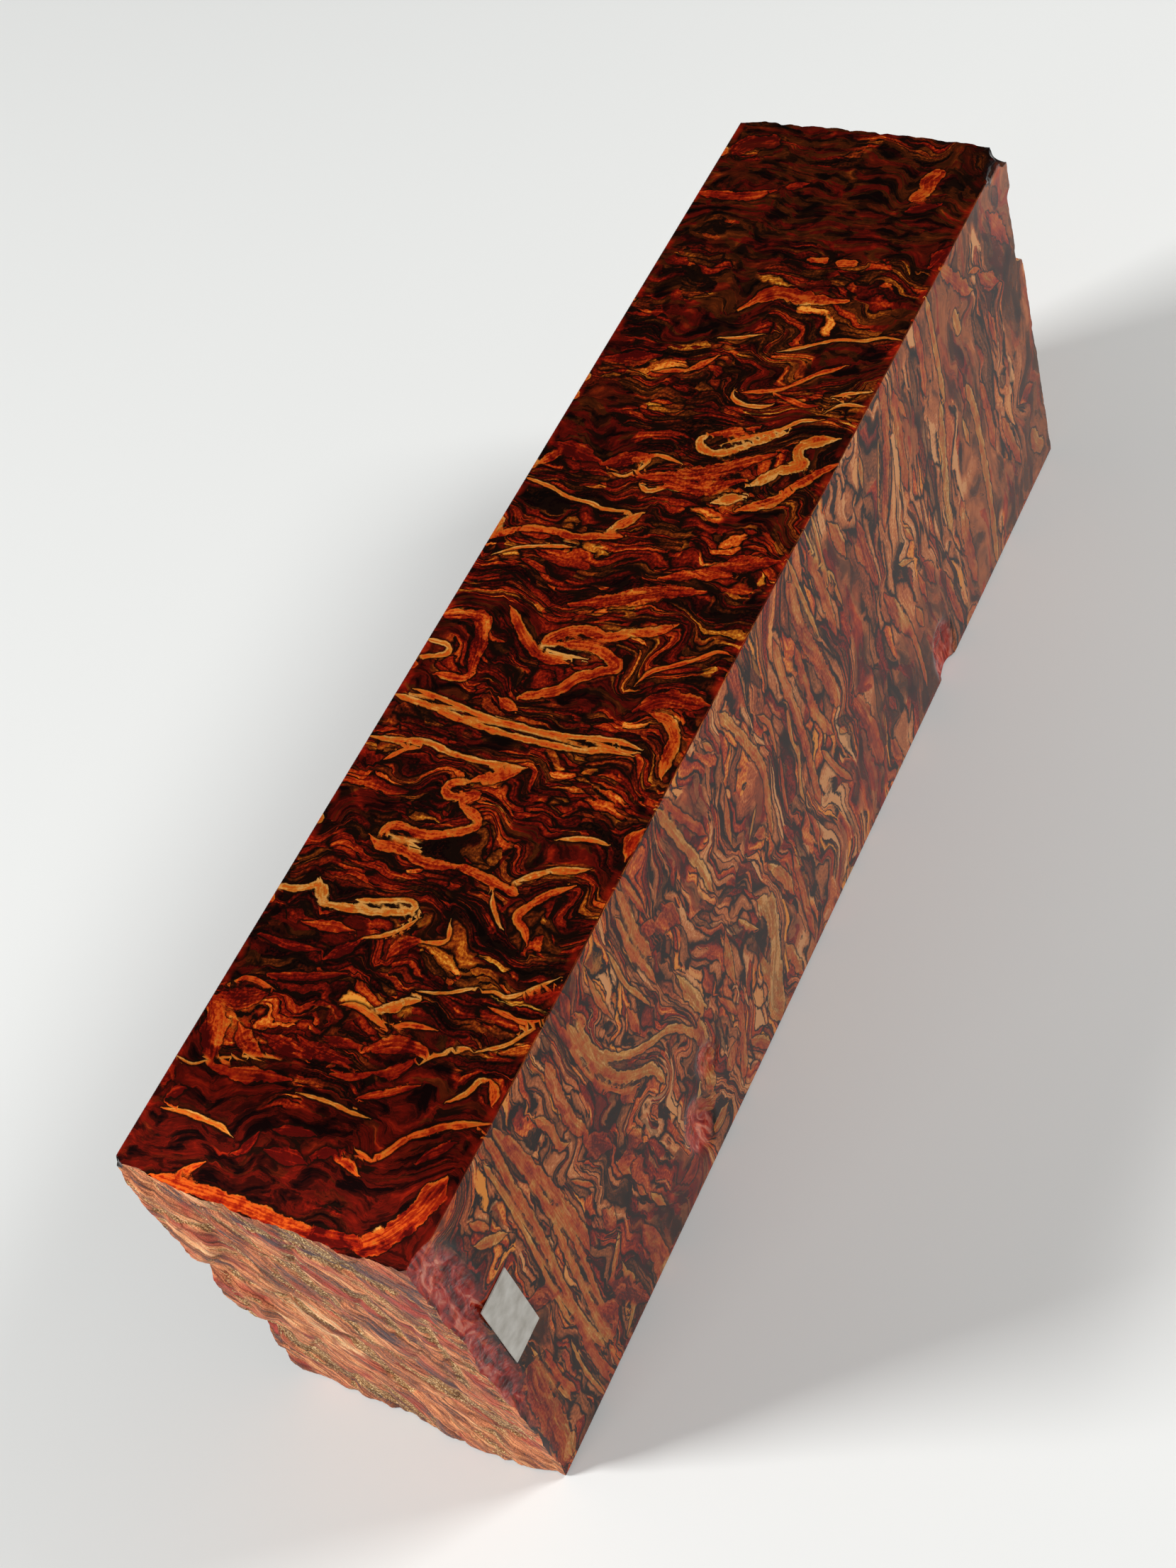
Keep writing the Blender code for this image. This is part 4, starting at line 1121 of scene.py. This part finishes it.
def calm_resin(tree, flow, near, far, tints):
    """Calm places where deep crimson resin shows wrinkles and creases rather than scales. Tints are values
    and the shares of them that its tone takes up. Gives where the places are, and their tone and edge."""
    places = stretched(tree, flow, CALM_PLACES)
    calm = add(tree, "TexNoise", {"Vector": places, "Scale": 1.0, "Detail": 2.0})[0]
    for value in (near, far):
        calm = add(tree, "Math", {0: calm, 1: value}, operation="ADD")[0]
    calm = add(tree, "MapRange", {0: calm, 1: 0.6, 2: 0.63})[0]
    folds = stretched(tree, flow, WRINKLES)
    wrinkles = add(tree, "TexNoise", {"Vector": folds, "Scale": 1.0, "Detail": 4.0, "Distortion": 0.6})[0]
    crease = thin_lines(tree, wrinkles)
    edge = add(tree, "MapRange", {0: crease, 1: 0.0, 2: 0.02, 3: 0.02, 4: 0.6})[0]
    crease = add(tree, "MapRange", {0: crease, 1: 0.01, 2: 0.035, 3: 0.12, 4: 0.0})[0]
    tone = add(tree, "Math", {0: wrinkles, 1: 1.4, 2: -0.76}, operation="MULTIPLY_ADD")[0]
    return calm, sum_of_shares(tree, tone, ((crease, 1.0), *tints)), edge


def tinted_scales(tree, tone, front, hue):
    """The scales' colour for their tone: reds and browns on the top, reds and rusts on the front."""
    reds, browns, rusts = (
        colour_stops(add(tree, "ValToRGB", {0: tone}), SCALE_TONES, colours)
        for colours in (RED_SCALES, BROWN_SCALES, RUSTY_SCALES)
    )
    browns = add(tree, "Mix", {0: front, 6: browns, 7: rusts}, data_type="RGBA")[2]
    hue = add(tree, "MapRange", {0: hue, 1: 0.5, 2: 0.9})[0]
    return add(tree, "Mix", {0: hue, 6: reds, 7: browns}, data_type="RGBA")[2]


def resin_between_scales(tree, flow, colour, edge, mottle, front):
    """Black resin between the scales and in pools of its own. Gives the new colour, and the resin's."""
    outline = add(tree, "Math", {0: mottle, 1: -0.16, 2: edge}, operation="MULTIPLY_ADD")[0]
    outline = add(tree, "MapRange", {0: outline, 1: -0.05, 2: 0.03, 3: 0.0, 4: 1.0})[0]
    pools = stretched(tree, flow, RESIN_POOLS)
    pool = add(tree, "TexNoise", {"Vector": pools, "Scale": 1.0, "Detail": 3.0})[0]
    pool = add(tree, "MapRange", {0: pool, 1: 0.33, 2: 0.38, 3: 0.1, 4: 1.0})[0]
    shallow = add(tree, "Math", {0: front, 1: 0.5}, operation="MULTIPLY")[0]
    pool = add(tree, "Math", {0: pool, 1: shallow}, operation="MAXIMUM")[0]
    outline = add(tree, "Math", {0: outline, 1: pool}, operation="MULTIPLY")[0]
    black, brown = hex_colour("#120805"), hex_colour("#1a0e08")
    resin = add(tree, "Mix", {0: front, 6: black, 7: brown}, data_type="RGBA")[2]
    return add(tree, "Mix", {0: outline, 6: resin, 7: colour}, data_type="RGBA")[2], resin


def ribbon_outline(tree, place, ribbon, half_width):
    """How far the spot lies outside the nearest drawn ribbon, in mm, and the ribbon's half width there. The
    ribbon's edge is lobed, and it pinches and swells along its length."""
    # Two distances are read, since the signed one alone also crosses zero between ribbons
    cross = add(tree, "Math", {0: ribbon[0]}, operation="ABSOLUTE")[0]
    slack = add(tree, "MapRange", {0: half_width, 1: 0.15, 2: 0.45, 3: 0.3, 4: 0.0})[0]
    away = add(tree, "Math", {0: ribbon[1], 1: slack}, operation="SUBTRACT")[0]
    reach = add(tree, "Math", {0: cross, 1: away}, operation="MAXIMUM")[0]
    wobble = add(tree, "TexNoise", {"Vector": place, "Scale": 1 / LOBE_SIZE, "Detail": 3.0})[0]
    wobble = add(tree, "Math", {0: wobble, 1: 0.45}, operation="SUBTRACT")[0]
    lobes = add(tree, "MapRange", {0: half_width, 1: 0.3, 2: 1.1, 3: 0.2, 4: 1.0})[0]
    reach = add(tree, "Math", {0: wobble, 1: lobes, 2: reach}, operation="MULTIPLY_ADD")[0]
    pinch = add(tree, "Math", {0: ribbon[2], 1: 1 / PINCH_LENGTH}, operation="MULTIPLY")[0]
    pinch = add(tree, "TexNoise", {"W": pinch, "Scale": 1.0, "Detail": 2.0}, noise_dimensions="1D")[0]
    pinch = add(tree, "MapRange", {0: pinch, 1: 0.3, 2: 0.7, 3: 0.75, 4: 1.15})[0]
    half = add(tree, "Math", {0: half_width, 1: pinch}, operation="MULTIPLY")[0]
    return add(tree, "Math", {0: reach, 1: half}, operation="SUBTRACT")[0], half


def ribbon_rim(tree, edge, drawn_tone, front):
    """How much lighter a pale ribbon is at its edge. Its middle is a little darker."""
    rim = add(tree, "MapRange", {0: edge, 1: -0.24, 2: -0.1, 3: -0.25, 4: 1.0})[0]
    rim_share = add(tree, "MapRange", {0: drawn_tone, 1: EMBER, 2: TAN, 3: 0.0, 4: 0.22})[0]
    half_front = add(tree, "MapRange", {0: front, 3: 1.0, 4: 0.4})[0]
    rim_share = add(tree, "Math", {0: rim_share, 1: half_front}, operation="MULTIPLY")[0]
    return add(tree, "Math", {0: rim, 1: rim_share}, operation="MULTIPLY")[0]


def ribbon_strands(tree, ribbon, half_width):
    """The strands and the cross grain of the drawn ribbons, and how much black shows where they split."""
    along_and_across = add(tree, "CombineXYZ", {0: ribbon[2], 1: ribbon[0], 2: 0.0})[0]
    patterns = []
    for length, breadth in (RIBBON_STRANDS, RIBBON_GRAIN):
        shrink = (1 / length, 1 / breadth, 1.0)
        squeezed = add(tree, "VectorMath", {0: along_and_across, 1: shrink}, operation="MULTIPLY")[0]
        patterns.append(add(tree, "TexNoise", {"Vector": squeezed, "Scale": 1.0, "Detail": 2.0})[0])
    strands, grain = patterns
    split = add(tree, "MapRange", {0: thin_lines(tree, strands), 1: 0.01, 2: 0.04, 3: 0.75, 4: 0.0})[0]
    narrow = add(tree, "MapRange", {0: half_width, 1: 0.35, 2: 0.6, 3: 0.35, 4: 0.3})[0]
    return strands, grain, add(tree, "Math", {0: split, 1: narrow}, operation="MULTIPLY")[0]


def ribbons_over(tree, place, front, scale_tone, colour, resin, blotch, mottle):
    """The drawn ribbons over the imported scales. Gives the new colour."""
    ribbon, form = stored_vector(tree, "ribbon"), stored_vector(tree, "ribbon_form")
    half_width, drawn_tone = form[0], form[1]
    edge, half = ribbon_outline(tree, place, ribbon, half_width)
    inside = add(tree, "MapRange", {0: edge, 1: -0.05, 2: 0.03, 3: 1.0, 4: 0.0})[0]
    halo = add(tree, "MapRange", {0: edge, 1: 0.08, 2: 0.3, 3: 0.9, 4: 0.0})[0]
    strands, grain, split = ribbon_strands(tree, ribbon, half_width)

    parts = ((grain, 0.2), (strands, 0.9), (blotch, 0.7), (mottle, 0.4))
    tone = sum_of_shares(tree, drawn_tone, parts)
    rim = ribbon_rim(tree, edge, drawn_tone, front)
    tone = add(tree, "Math", {0: rim, 1: tone}, operation="ADD")[0]
    tone = add(tree, "Math", {0: tone, 1: 1.16}, operation="SUBTRACT")[0]

    # One side of a ribbon is painted lighter, as painted shading for a rounded, lit look, and a broad one
    # lets the scales show through
    painted_side_shading = add(tree, "Math", {0: ribbon[0], 1: half}, operation="DIVIDE")[0]
    painted_side_shading = add(tree, "MapRange", {0: painted_side_shading, 1: -1.0, 2: 1.0, 3: -0.12, 4: 0.12})[0]
    tone = add(tree, "Math", {0: tone, 1: painted_side_shading}, operation="ADD")[0]
    broad = add(tree, "MapRange", {0: half_width, 1: 0.2, 2: 1.0, 3: 0.1, 4: 0.85})[0]
    under = add(tree, "Math", {0: scale_tone, 1: 0.42}, operation="SUBTRACT")[0]
    tone = add(tree, "Math", {0: under, 1: broad, 2: tone}, operation="MULTIPLY_ADD")[0]

    warm, rusty = (
        colour_stops(add(tree, "ValToRGB", {0: tone}), TONES, colours)
        for colours in (TOP_RIBBON_COLOURS, FRONT_RIBBON_COLOURS)
    )
    ribbon_colour = add(tree, "Mix", {0: front, 6: warm, 7: rusty}, data_type="RGBA")[2]
    ribbon_colour = add(tree, "Mix", {0: split, 6: ribbon_colour, 7: resin}, data_type="RGBA")[2]
    through = add(tree, "Math", {0: broad, 1: 0.4}, operation="MULTIPLY")[0]
    ribbon_colour = add(tree, "Mix", {0: through, 6: ribbon_colour, 7: colour}, data_type="RGBA")[2]
    is_pool = add(tree, "Math", {0: drawn_tone, 1: POOL / 2}, operation="LESS_THAN")[0]
    dark_figure = add(tree, "Mix", {0: 0.6, 6: colour, 7: resin}, data_type="RGBA")[2]
    ribbon_colour = add(tree, "Mix", {0: is_pool, 6: ribbon_colour, 7: dark_figure}, data_type="RGBA")[2]
    colour = add(tree, "Mix", {0: halo, 6: colour, 7: resin}, data_type="RGBA")[2]
    return add(tree, "Mix", {0: inside, 6: colour, 7: ribbon_colour}, data_type="RGBA")[2]


def figure_colour(tree):
    """The figure of packed scales and drawn ribbons. Gives its colour, and the place in mm."""
    place = place_in_mm(tree)
    spot = add(tree, "SeparateXYZ", {0: place})
    front = add(tree, "Attribute", attribute_name="on_front_face")["Fac"]
    flow = buckled_flow(tree, place, spot, stored_vector(tree, "ribbon_form")[2], front)
    chances, edge = scales_of_three_kinds(tree, flow)

    # Growth lines, layers of several scales that share a tone, and mottling make the tone of the scales
    fine, broad = stretched(tree, flow, GROWTH_LINES), stretched(tree, flow, LAYERS)
    lines = add(tree, "TexNoise", {"Vector": fine, "Scale": 1.0, "Detail": 2.0})[0]
    layers = add(tree, "TexNoise", {"Vector": broad, "Scale": 1.0, "Detail": 1.0})[0]
    mottle = add(tree, "TexNoise", {"Vector": place, "Scale": 1 / MOTTLE_SIZE, "Detail": 2.0})[0]
    tone = add(tree, "Math", {0: chances[0], 1: 0.42, 2: -1.16}, operation="MULTIPLY_ADD")[0]
    tone = sum_of_shares(tree, tone, ((layers, 1.1), (lines, 0.8), (mottle, 0.7)))
    swell = add(tree, "MapRange", {0: edge, 1: 0.0, 2: 0.3, 3: -0.08, 4: 0.08})[0]
    bright = add(tree, "MapRange", {0: chances[2], 1: 0.85, 2: 0.97, 3: 0.0, 4: 0.3})[0]
    for value in (swell, bright):
        tone = add(tree, "Math", {0: tone, 1: value}, operation="ADD")[0]
    # The front face's scales are made lighter in tone. This is partly painted light: it makes up for the
    # dimmer light that reaches the front.
    tone = add(tree, "Math", {0: front, 1: 0.24, 2: tone}, operation="MULTIPLY_ADD")[0]

    # Calm resin lies at the near end of the top, and more of it towards the far end
    near_end, far_end = -LENGTH / 2, LENGTH / 2
    near = add(tree, "MapRange", {0: spot[0], 1: near_end + 8.0, 2: near_end + 18.0, 3: 0.3, 4: 0.0})[0]
    not_front = add(tree, "Math", {0: front, 1: -1.0, 2: 1.0}, operation="MULTIPLY_ADD")[0]
    near = add(tree, "Math", {0: near, 1: not_front}, operation="MULTIPLY")[0]
    far = add(tree, "MapRange", {0: spot[0], 1: 10.0, 2: far_end - 10.0, 3: 0.0, 4: 0.2})[0]
    blotch = add(tree, "TexNoise", {"Vector": place, "Scale": 1 / BLOTCH_SIZE, "Detail": 2.0})[0]
    # Among the tints, the share of the front paints its calm resin a little lighter: partly painted light
    # for the front's dimmer lighting.
    tints = ((blotch, 0.3), (lines, 0.3), (front, 0.12))
    calm, calm_tone, calm_edge = calm_resin(tree, flow, near, far, tints)
    tone = add(tree, "Mix", {0: calm, 2: tone, 3: calm_tone})[0]
    edge = add(tree, "Mix", {0: calm, 2: edge, 3: calm_edge})[0]
    # The front is painted lighter towards its far end: painted light for the brighter light that falls on
    # that half
    first, last = FRONT_PAINTED_LIGHT
    painted_far_light = add(tree, "MapRange", {0: spot[0], 1: first, 2: last, 3: 0.0, 4: 0.12})[0]
    tone = add(tree, "Math", {0: painted_far_light, 1: front, 2: tone}, operation="MULTIPLY_ADD")[0]

    hue = sum_of_shares(tree, chances[1], ((front, 0.2), (near, -1.0), (far, 1.6)))
    colour = tinted_scales(tree, tone, front, hue)
    colour, resin = resin_between_scales(tree, flow, colour, edge, mottle, front)
    colour = ribbons_over(tree, place, front, tone, colour, resin, blotch, mottle)
    return colour, place


def painted_glow_near_arrises(tree, place, colour):
    """Light entering the clear resin from two sides near an arris would make a strip of it glow red; here
    that glow is painted into the colour as a painted red strip. The rough near end lets in the most, so the
    top is painted brightest at its rim."""
    spot = add(tree, "SeparateXYZ", {0: place})
    is_top = add(tree, "MapRange", {0: spot[2], 1: HEIGHT - 0.2, 2: HEIGHT - 0.1})[0]
    # Painted light: the top is painted up to twice as bright towards the near end
    painted_brightening = add(tree, "MapRange", {0: spot[0], 1: -LENGTH / 2 + 9.0, 2: -LENGTH / 2 + 4.0, 3: 0.0, 4: 1.0})[0]
    painted_brightening = add(tree, "Math", {0: painted_brightening, 1: is_top, 2: 1.0}, operation="MULTIPLY_ADD")[0]
    colour = add(tree, "VectorMath", {0: colour, "Scale": painted_brightening}, operation="SCALE")[0]
    aside = add(tree, "Math", {0: spot[1]}, operation="ABSOLUTE")[0]
    along_top = add(tree, "MapRange", {0: aside, 1: WIDTH / 2 - 0.9, 2: WIDTH / 2 - 0.1})[0]
    along_top = add(tree, "Math", {0: along_top, 1: is_top}, operation="MULTIPLY")[0]
    along_base = add(tree, "MapRange", {0: spot[2], 1: 0.1, 2: 1.0, 3: 1.0, 4: 0.0})[0]
    near = add(tree, "Math", {0: along_top, 1: along_base}, operation="MAXIMUM")[0]
    patchy = add(tree, "TexNoise", {"Vector": place, "Scale": 1 / PAINTED_GLOW_PATCH_SIZE, "Detail": 2.0})[0]
    patchy = add(tree, "MapRange", {0: patchy, 1: 0.48, 2: 0.66})[0]
    share = add(tree, "Math", {0: near, 1: patchy}, operation="MULTIPLY")[0]
    share = add(tree, "Math", {0: share, 1: 0.45}, operation="MULTIPLY")[0]
    # The colour of the painted red glow, screened over the figure
    painted_glow_colour = hex_colour("#b41a06")
    return add(tree, "Mix", {0: share, 6: colour, 7: painted_glow_colour}, data_type="RGBA", blend_type="SCREEN")[2]


def polished_material():
    """Plant scales set in clear, red and black resin, then sanded and buffed. The polish shows the figure
    wet and deep, and mirrors what stands in front of it."""
    material, tree = new_material("dyed_scales_in_buffed_resin")
    colour, place = figure_colour(tree)
    # A painted red glow near the arrises, and a painted brighter rim on the top by the near end
    colour = painted_glow_near_arrises(tree, place, colour)

    # In the hollows the buffing wheel has not touched the red resin, which stays lumpy and wet
    look = stored_vector(tree, "end_look")
    unbuffed = add(tree, "MapRange", {0: look[2], 1: 0.05, 2: 0.4})[0]
    clouds = stretched(tree, place, RESIN_CLOUDS)
    cloudy = add(tree, "TexNoise", {"Vector": clouds, "Scale": 1.0, "Detail": 3.0, "Distortion": 1.2})[0]
    rose = colour_stops(
        add(tree, "ValToRGB", {0: cloudy}),
        (0.34, 0.46, 0.56, 0.68),
        ("#500808", "#9c1a16", "#c43a2e", "#ec9078"),
    )
    red_share = add(tree, "Math", {0: unbuffed, 1: 0.65}, operation="MULTIPLY")[0]
    colour = add(tree, "Mix", {0: red_share, 6: colour, 7: rose}, data_type="RGBA")[2]

    # A chip shows bare black resin
    chipped = add(tree, "Attribute", attribute_name="chipped")["Fac"]
    chip_share = add(tree, "Math", {0: chipped, 1: 0.85}, operation="MULTIPLY")[0]
    colour = add(tree, "Mix", {0: chip_share, 6: colour, 7: hex_colour("#160c0c")}, data_type="RGBA")[2]

    # The polish follows long low ripples, and lumps where the resin is unbuffed
    unbuffed = add(tree, "Math", {0: unbuffed, 1: chipped}, operation="MAXIMUM")[0]
    ripple = add(tree, "TexNoise", {"Vector": place, "Scale": 1 / RIPPLE_SIZE, "Detail": 1.0})[0]
    lumps = add(tree, "TexNoise", {"Vector": place, "Scale": 1 / LUMP_SIZE, "Detail": 2.0})[0]
    lumps = add(tree, "Math", {0: lumps, 1: unbuffed}, operation="MULTIPLY")[0]
    height = add(tree, "Math", {0: lumps, 1: LUMP_TO_RIPPLE, 2: ripple}, operation="MULTIPLY_ADD")[0]
    bump = add(tree, "Bump", {"Strength": 0.3, "Distance": 0.02 * MM, "Height": height})[0]
    coat_ior = add(tree, "MapRange", {0: unbuffed, 3: 1.22, 4: 1.28})[0]
    shader = add(
        tree,
        "BsdfPrincipled",
        {
            "Base Color": colour,
            "Roughness": 0.45,
            "IOR": 1.5,
            "Specular IOR Level": 0.0,
            "Coat Weight": 1.0,
            "Coat Roughness": 0.04,
            "Coat IOR": coat_ior,
            "Coat Normal": bump,
        },
    )
    add(tree, "OutputMaterial", {"Surface": shader[0]})
    return material


def torn_material():
    """Bare plant scales at the torn ends, dry and dusty: streaks of salmon and orange plates, khaki bands
    that crumble into grains, and dark cracks between them."""
    material, tree = new_material("torn_dyed_scales")
    look = stored_vector(tree, "end_look")
    place = place_in_mm(tree)
    spot = add(tree, "SeparateXYZ", {0: place})
    along = add(tree, "VectorMath", {0: place, 1: (0, *STREAK_ALONG)}, operation="DOT_PRODUCT")["Value"]
    aside = add(tree, "VectorMath", {0: place, 1: (0, *STREAK_ACROSS)}, operation="DOT_PRODUCT")["Value"]
    knots = add(tree, "TexNoise", {"Vector": place, "Scale": 1 / TORN_KNOT_SIZE, "Detail": 1.0})["Color"]
    tremor = add(tree, "TexNoise", {"Vector": place, "Scale": 1 / TORN_TREMOR_SIZE, "Detail": 2.0})["Color"]
    streaks = add(tree, "CombineXYZ", {0: aside, 1: along, 2: spot[0]})[0]
    for push, reach in ((knots, TORN_KNOT_REACH), (tremor, TORN_TREMOR_REACH)):
        streaks = add(tree, "VectorMath", {0: push, 1: reach, 2: streaks}, operation="MULTIPLY_ADD")[0]

    plates, plate_edge = packed_scales(tree, streaks, TORN_PLATES)
    slivers, sliver_edge = packed_scales(tree, streaks, TORN_SLIVERS)
    thin, rose_bands, sooty = (
        stretched(tree, streaks, size) for size in (TORN_FIBRES, ROSY_STREAKS, SOOT_STREAKS)
    )
    fibres = add(tree, "TexNoise", {"Vector": thin, "Scale": 1.0, "Detail": 3.0})[0]
    rosy = add(tree, "TexNoise", {"Vector": rose_bands, "Scale": 1.0, "Detail": 2.0})[0]
    soot = add(tree, "TexNoise", {"Vector": sooty, "Scale": 1.0, "Detail": 4.0})[0]
    grit = add(tree, "TexNoise", {"Vector": place, "Scale": 1 / GRIT_SIZE, "Detail": 2.0})[0]

    # Flat plates, from grey cracks to pale salmon
    tone = add(tree, "Math", {0: look[0], 1: 0.5, 2: -1.25}, operation="MULTIPLY_ADD")[0]
    parts = ((plates[0], 0.5), (slivers[0], 0.3), (fibres, 1.1), (grit, 0.9))
    tone = sum_of_shares(tree, tone, parts)
    flat = colour_stops(
        add(tree, "ValToRGB", {0: tone}),
        (0.0, 0.14, 0.3, 0.48, 0.66, 0.82, 1.0),
        ("#5c4a4c", "#8e5a46", "#b66a46", "#dc8458", "#f09c66", "#f8b078", "#fed09c"),
    )
    drawn_rose = add(tree, "Attribute", attribute_name="end_rose")["Fac"]
    rosy = add(tree, "Math", {0: drawn_rose, 1: 0.16, 2: rosy}, operation="MULTIPLY_ADD")[0]
    rosy = add(tree, "MapRange", {0: rosy, 1: 0.54, 2: 0.68, 3: 0.0, 4: 0.75})[0]
    flat = add(tree, "Mix", {0: rosy, 6: flat, 7: hex_colour("#c0483c")}, data_type="RGBA")[2]

    # Khaki grains where the scales crumble, above all in the seams
    granular = colour_stops(
        add(tree, "ValToRGB", {0: grit}),
        (0.34, 0.46, 0.56, 0.66),
        ("#54381f", "#98703f", "#cc9c60", "#fae0ac"),
    )
    crumbling = sum_of_shares(tree, look[1], ((slivers[1], 0.6), (fibres, 0.5)))
    crumbling = add(tree, "MapRange", {0: crumbling, 1: 0.92, 2: 1.12, 3: 0.0, 4: 0.85})[0]
    colour = add(tree, "Mix", {0: crumbling, 6: flat, 7: granular}, data_type="RGBA")[2]

    # Soot along the streaks, and dark cracks round plates and slivers
    soot = add(tree, "MapRange", {0: soot, 1: 0.55, 2: 0.64, 3: 0.0, 4: 0.7})[0]
    colour = add(tree, "Mix", {0: soot, 6: colour, 7: hex_colour("#58443a")}, data_type="RGBA")[2]
    crack = add(tree, "MapRange", {0: plate_edge, 1: 0.02, 2: 0.08, 3: 0.55, 4: 0.0})[0]
    fine_crack = add(tree, "MapRange", {0: sliver_edge, 1: 0.02, 2: 0.14, 3: 0.25, 4: 0.0})[0]
    crack = add(tree, "Math", {0: crack, 1: fine_crack}, operation="MAXIMUM")[0]
    colour = add(tree, "Mix", {0: crack, 6: colour, 7: hex_colour("#5a2e20")}, data_type="RGBA")[2]
    height = add(tree, "Math", {0: grit, 1: 1.0, 2: fibres}, operation="MULTIPLY_ADD")[0]
    height = add(tree, "Math", {0: crack, 1: -0.8, 2: height}, operation="MULTIPLY_ADD")[0]
    bump = add(tree, "Bump", {"Strength": 0.75, "Distance": 0.15 * MM, "Height": height})[0]
    shader = add(
        tree,
        "BsdfPrincipled",
        {"Base Color": colour, "Roughness": 0.5, "IOR": 1.45, "Specular IOR Level": 0.12, "Normal": bump},
    )
    add(tree, "OutputMaterial", {"Surface": shader[0]})
    return material


def paper_material():
    """Thin white writing paper, slightly cockled by the glue: matt, with faint grey clouding."""
    material, tree = new_material("thin_white_paper")
    place = place_in_mm(tree)
    cloud = add(tree, "TexNoise", {"Vector": place, "Scale": 1 / PAPER_CLOUD_SIZE, "Detail": 3.0})[0]
    fibre = add(tree, "TexNoise", {"Vector": place, "Scale": 1 / PAPER_FIBRE_SIZE, "Detail": 2.0})[0]
    colour = colour_stops(add(tree, "ValToRGB", {0: cloud}), (0.3, 0.7), ("#a29c92", "#c2beb6"))
    bump = add(tree, "Bump", {"Strength": 0.3, "Distance": 0.02 * MM, "Height": fibre})[0]
    shader = add(tree, "BsdfPrincipled", {"Base Color": colour, "Roughness": 0.6, "Normal": bump})
    add(tree, "OutputMaterial", {"Surface": shader[0]})
    return material


def make_slip():
    """The paper slip: a thin sheet, cockled, lying on the front face near the near end."""
    across, up = SLIP_GRID
    bpy.ops.object.select_all(action="DESELECT")
    bpy.ops.mesh.primitive_grid_add(x_subdivisions=across, y_subdivisions=up, size=1.0)
    slip = bpy.context.object
    slip.name = slip.data.name = "blank_slip"
    slip.scale = (SLIP_WIDTH * MM, SLIP_HEIGHT * MM, 1.0)
    slip.rotation_euler = (math.pi / 2, 0.0, 0.0)
    slip.location = ((SLIP_FROM_END - LENGTH / 2) * MM, -(WIDTH / 2 + SLIP_LIFT) * MM, SLIP_MIDDLE_Z * MM)
    bpy.ops.object.transform_apply(location=True, rotation=True, scale=True)
    for vertex in slip.data.vertices:
        cockle = noise.noise(Vector((vertex.co.x, 0, vertex.co.z)) / (COCKLE_SIZE * MM))
        vertex.co.y -= (COCKLE_HEIGHT + COCKLE_HEIGHT * cockle) * MM
    thicken = slip.modifiers.new("paper thickness", "SOLIDIFY")
    thicken.thickness = SLIP_THICKNESS * MM
    thicken.offset = 0.0
    bpy.ops.object.modifier_apply(modifier=thicken.name)
    bpy.ops.object.shade_smooth_by_angle(angle=math.radians(SMOOTH_ANGLE))
    slip.data.materials.append(paper_material())
    return slip


def make_floor():
    """A plain pale floor, well past the picture's edges."""
    bpy.ops.object.select_all(action="DESELECT")
    bpy.ops.mesh.primitive_plane_add(size=FLOOR_SIZE, location=(0, 0, -FLOOR_DROP))
    floor = bpy.context.object
    floor.name = "pale_floor"
    material, tree = new_material("matt_pale_board")
    shader = add(tree, "BsdfPrincipled", {"Base Color": hex_colour("#e6e7e5"), "Roughness": 0.55})
    add(tree, "OutputMaterial", {"Surface": shader[0]})
    floor.data.materials.append(material)
    return floor


def make_camera():
    """The camera that took the photo."""
    data = bpy.data.cameras.new("photo_camera")
    data.sensor_width = SENSOR
    data.lens = SENSOR * FOCAL_PIXELS / PICTURE_HEIGHT
    data.clip_start = 0.01
    camera = bpy.data.objects.new("photo_camera", data)
    bpy.context.scene.collection.objects.link(camera)
    back = -CAMERA_LOOK.normalized()
    right = CAMERA_UP.cross(back).normalized()
    up = back.cross(right)
    turn = Matrix((right, up, back)).transposed().to_4x4()
    camera.matrix_world = Matrix.Translation(CAMERA_AT) @ turn
    bpy.context.scene.camera = camera


def soft_light(name, place, size, watts):
    """A large square white lamp that faces the block."""
    data = bpy.data.lights.new(name, "AREA")
    data.size = size
    data.energy = watts
    lamp = bpy.data.objects.new(name, data)
    bpy.context.scene.collection.objects.link(lamp)
    lamp.location = place
    lamp.rotation_euler = (-Vector(place)).to_track_quat("-Z", "Y").to_euler()


def make_light():
    """A soft lamp behind and beyond the near end, a second in front of the label's face, a low one that
    faces the near end, and a dim even room. Nothing bright stands where the top face mirrors it."""
    world = bpy.data.worlds.new("dim_room")
    bpy.context.scene.world = world
    world.use_nodes = True
    tree = world.node_tree
    direction = add(tree, "TexCoord")["Generated"]
    toward_dark = add(tree, "VectorMath", {0: direction, 1: DARK_WALL}, operation="DOT_PRODUCT")["Value"]
    room = colour_stops(
        add(tree, "ValToRGB", {0: toward_dark}),
        (0.0, 0.82, 0.92),
        ("#f0f1f2", "#e2e3e4", "#2c2c2d"),
    )
    background = tree.nodes["Background"]
    tree.links.new(room, background.inputs["Color"])
    background.inputs["Strength"].default_value = SKY_STRENGTH
    for lamp in LAMPS:
        soft_light(*lamp)


make_camera()
make_light()
make_floor()

scales_in_resin = make_block()
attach(scales_in_resin, "root")
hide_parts("block")

blank_slip = make_slip()
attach(blank_slip, "root")
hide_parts("label")

bpy.context.scene.view_settings.view_transform = "Standard"
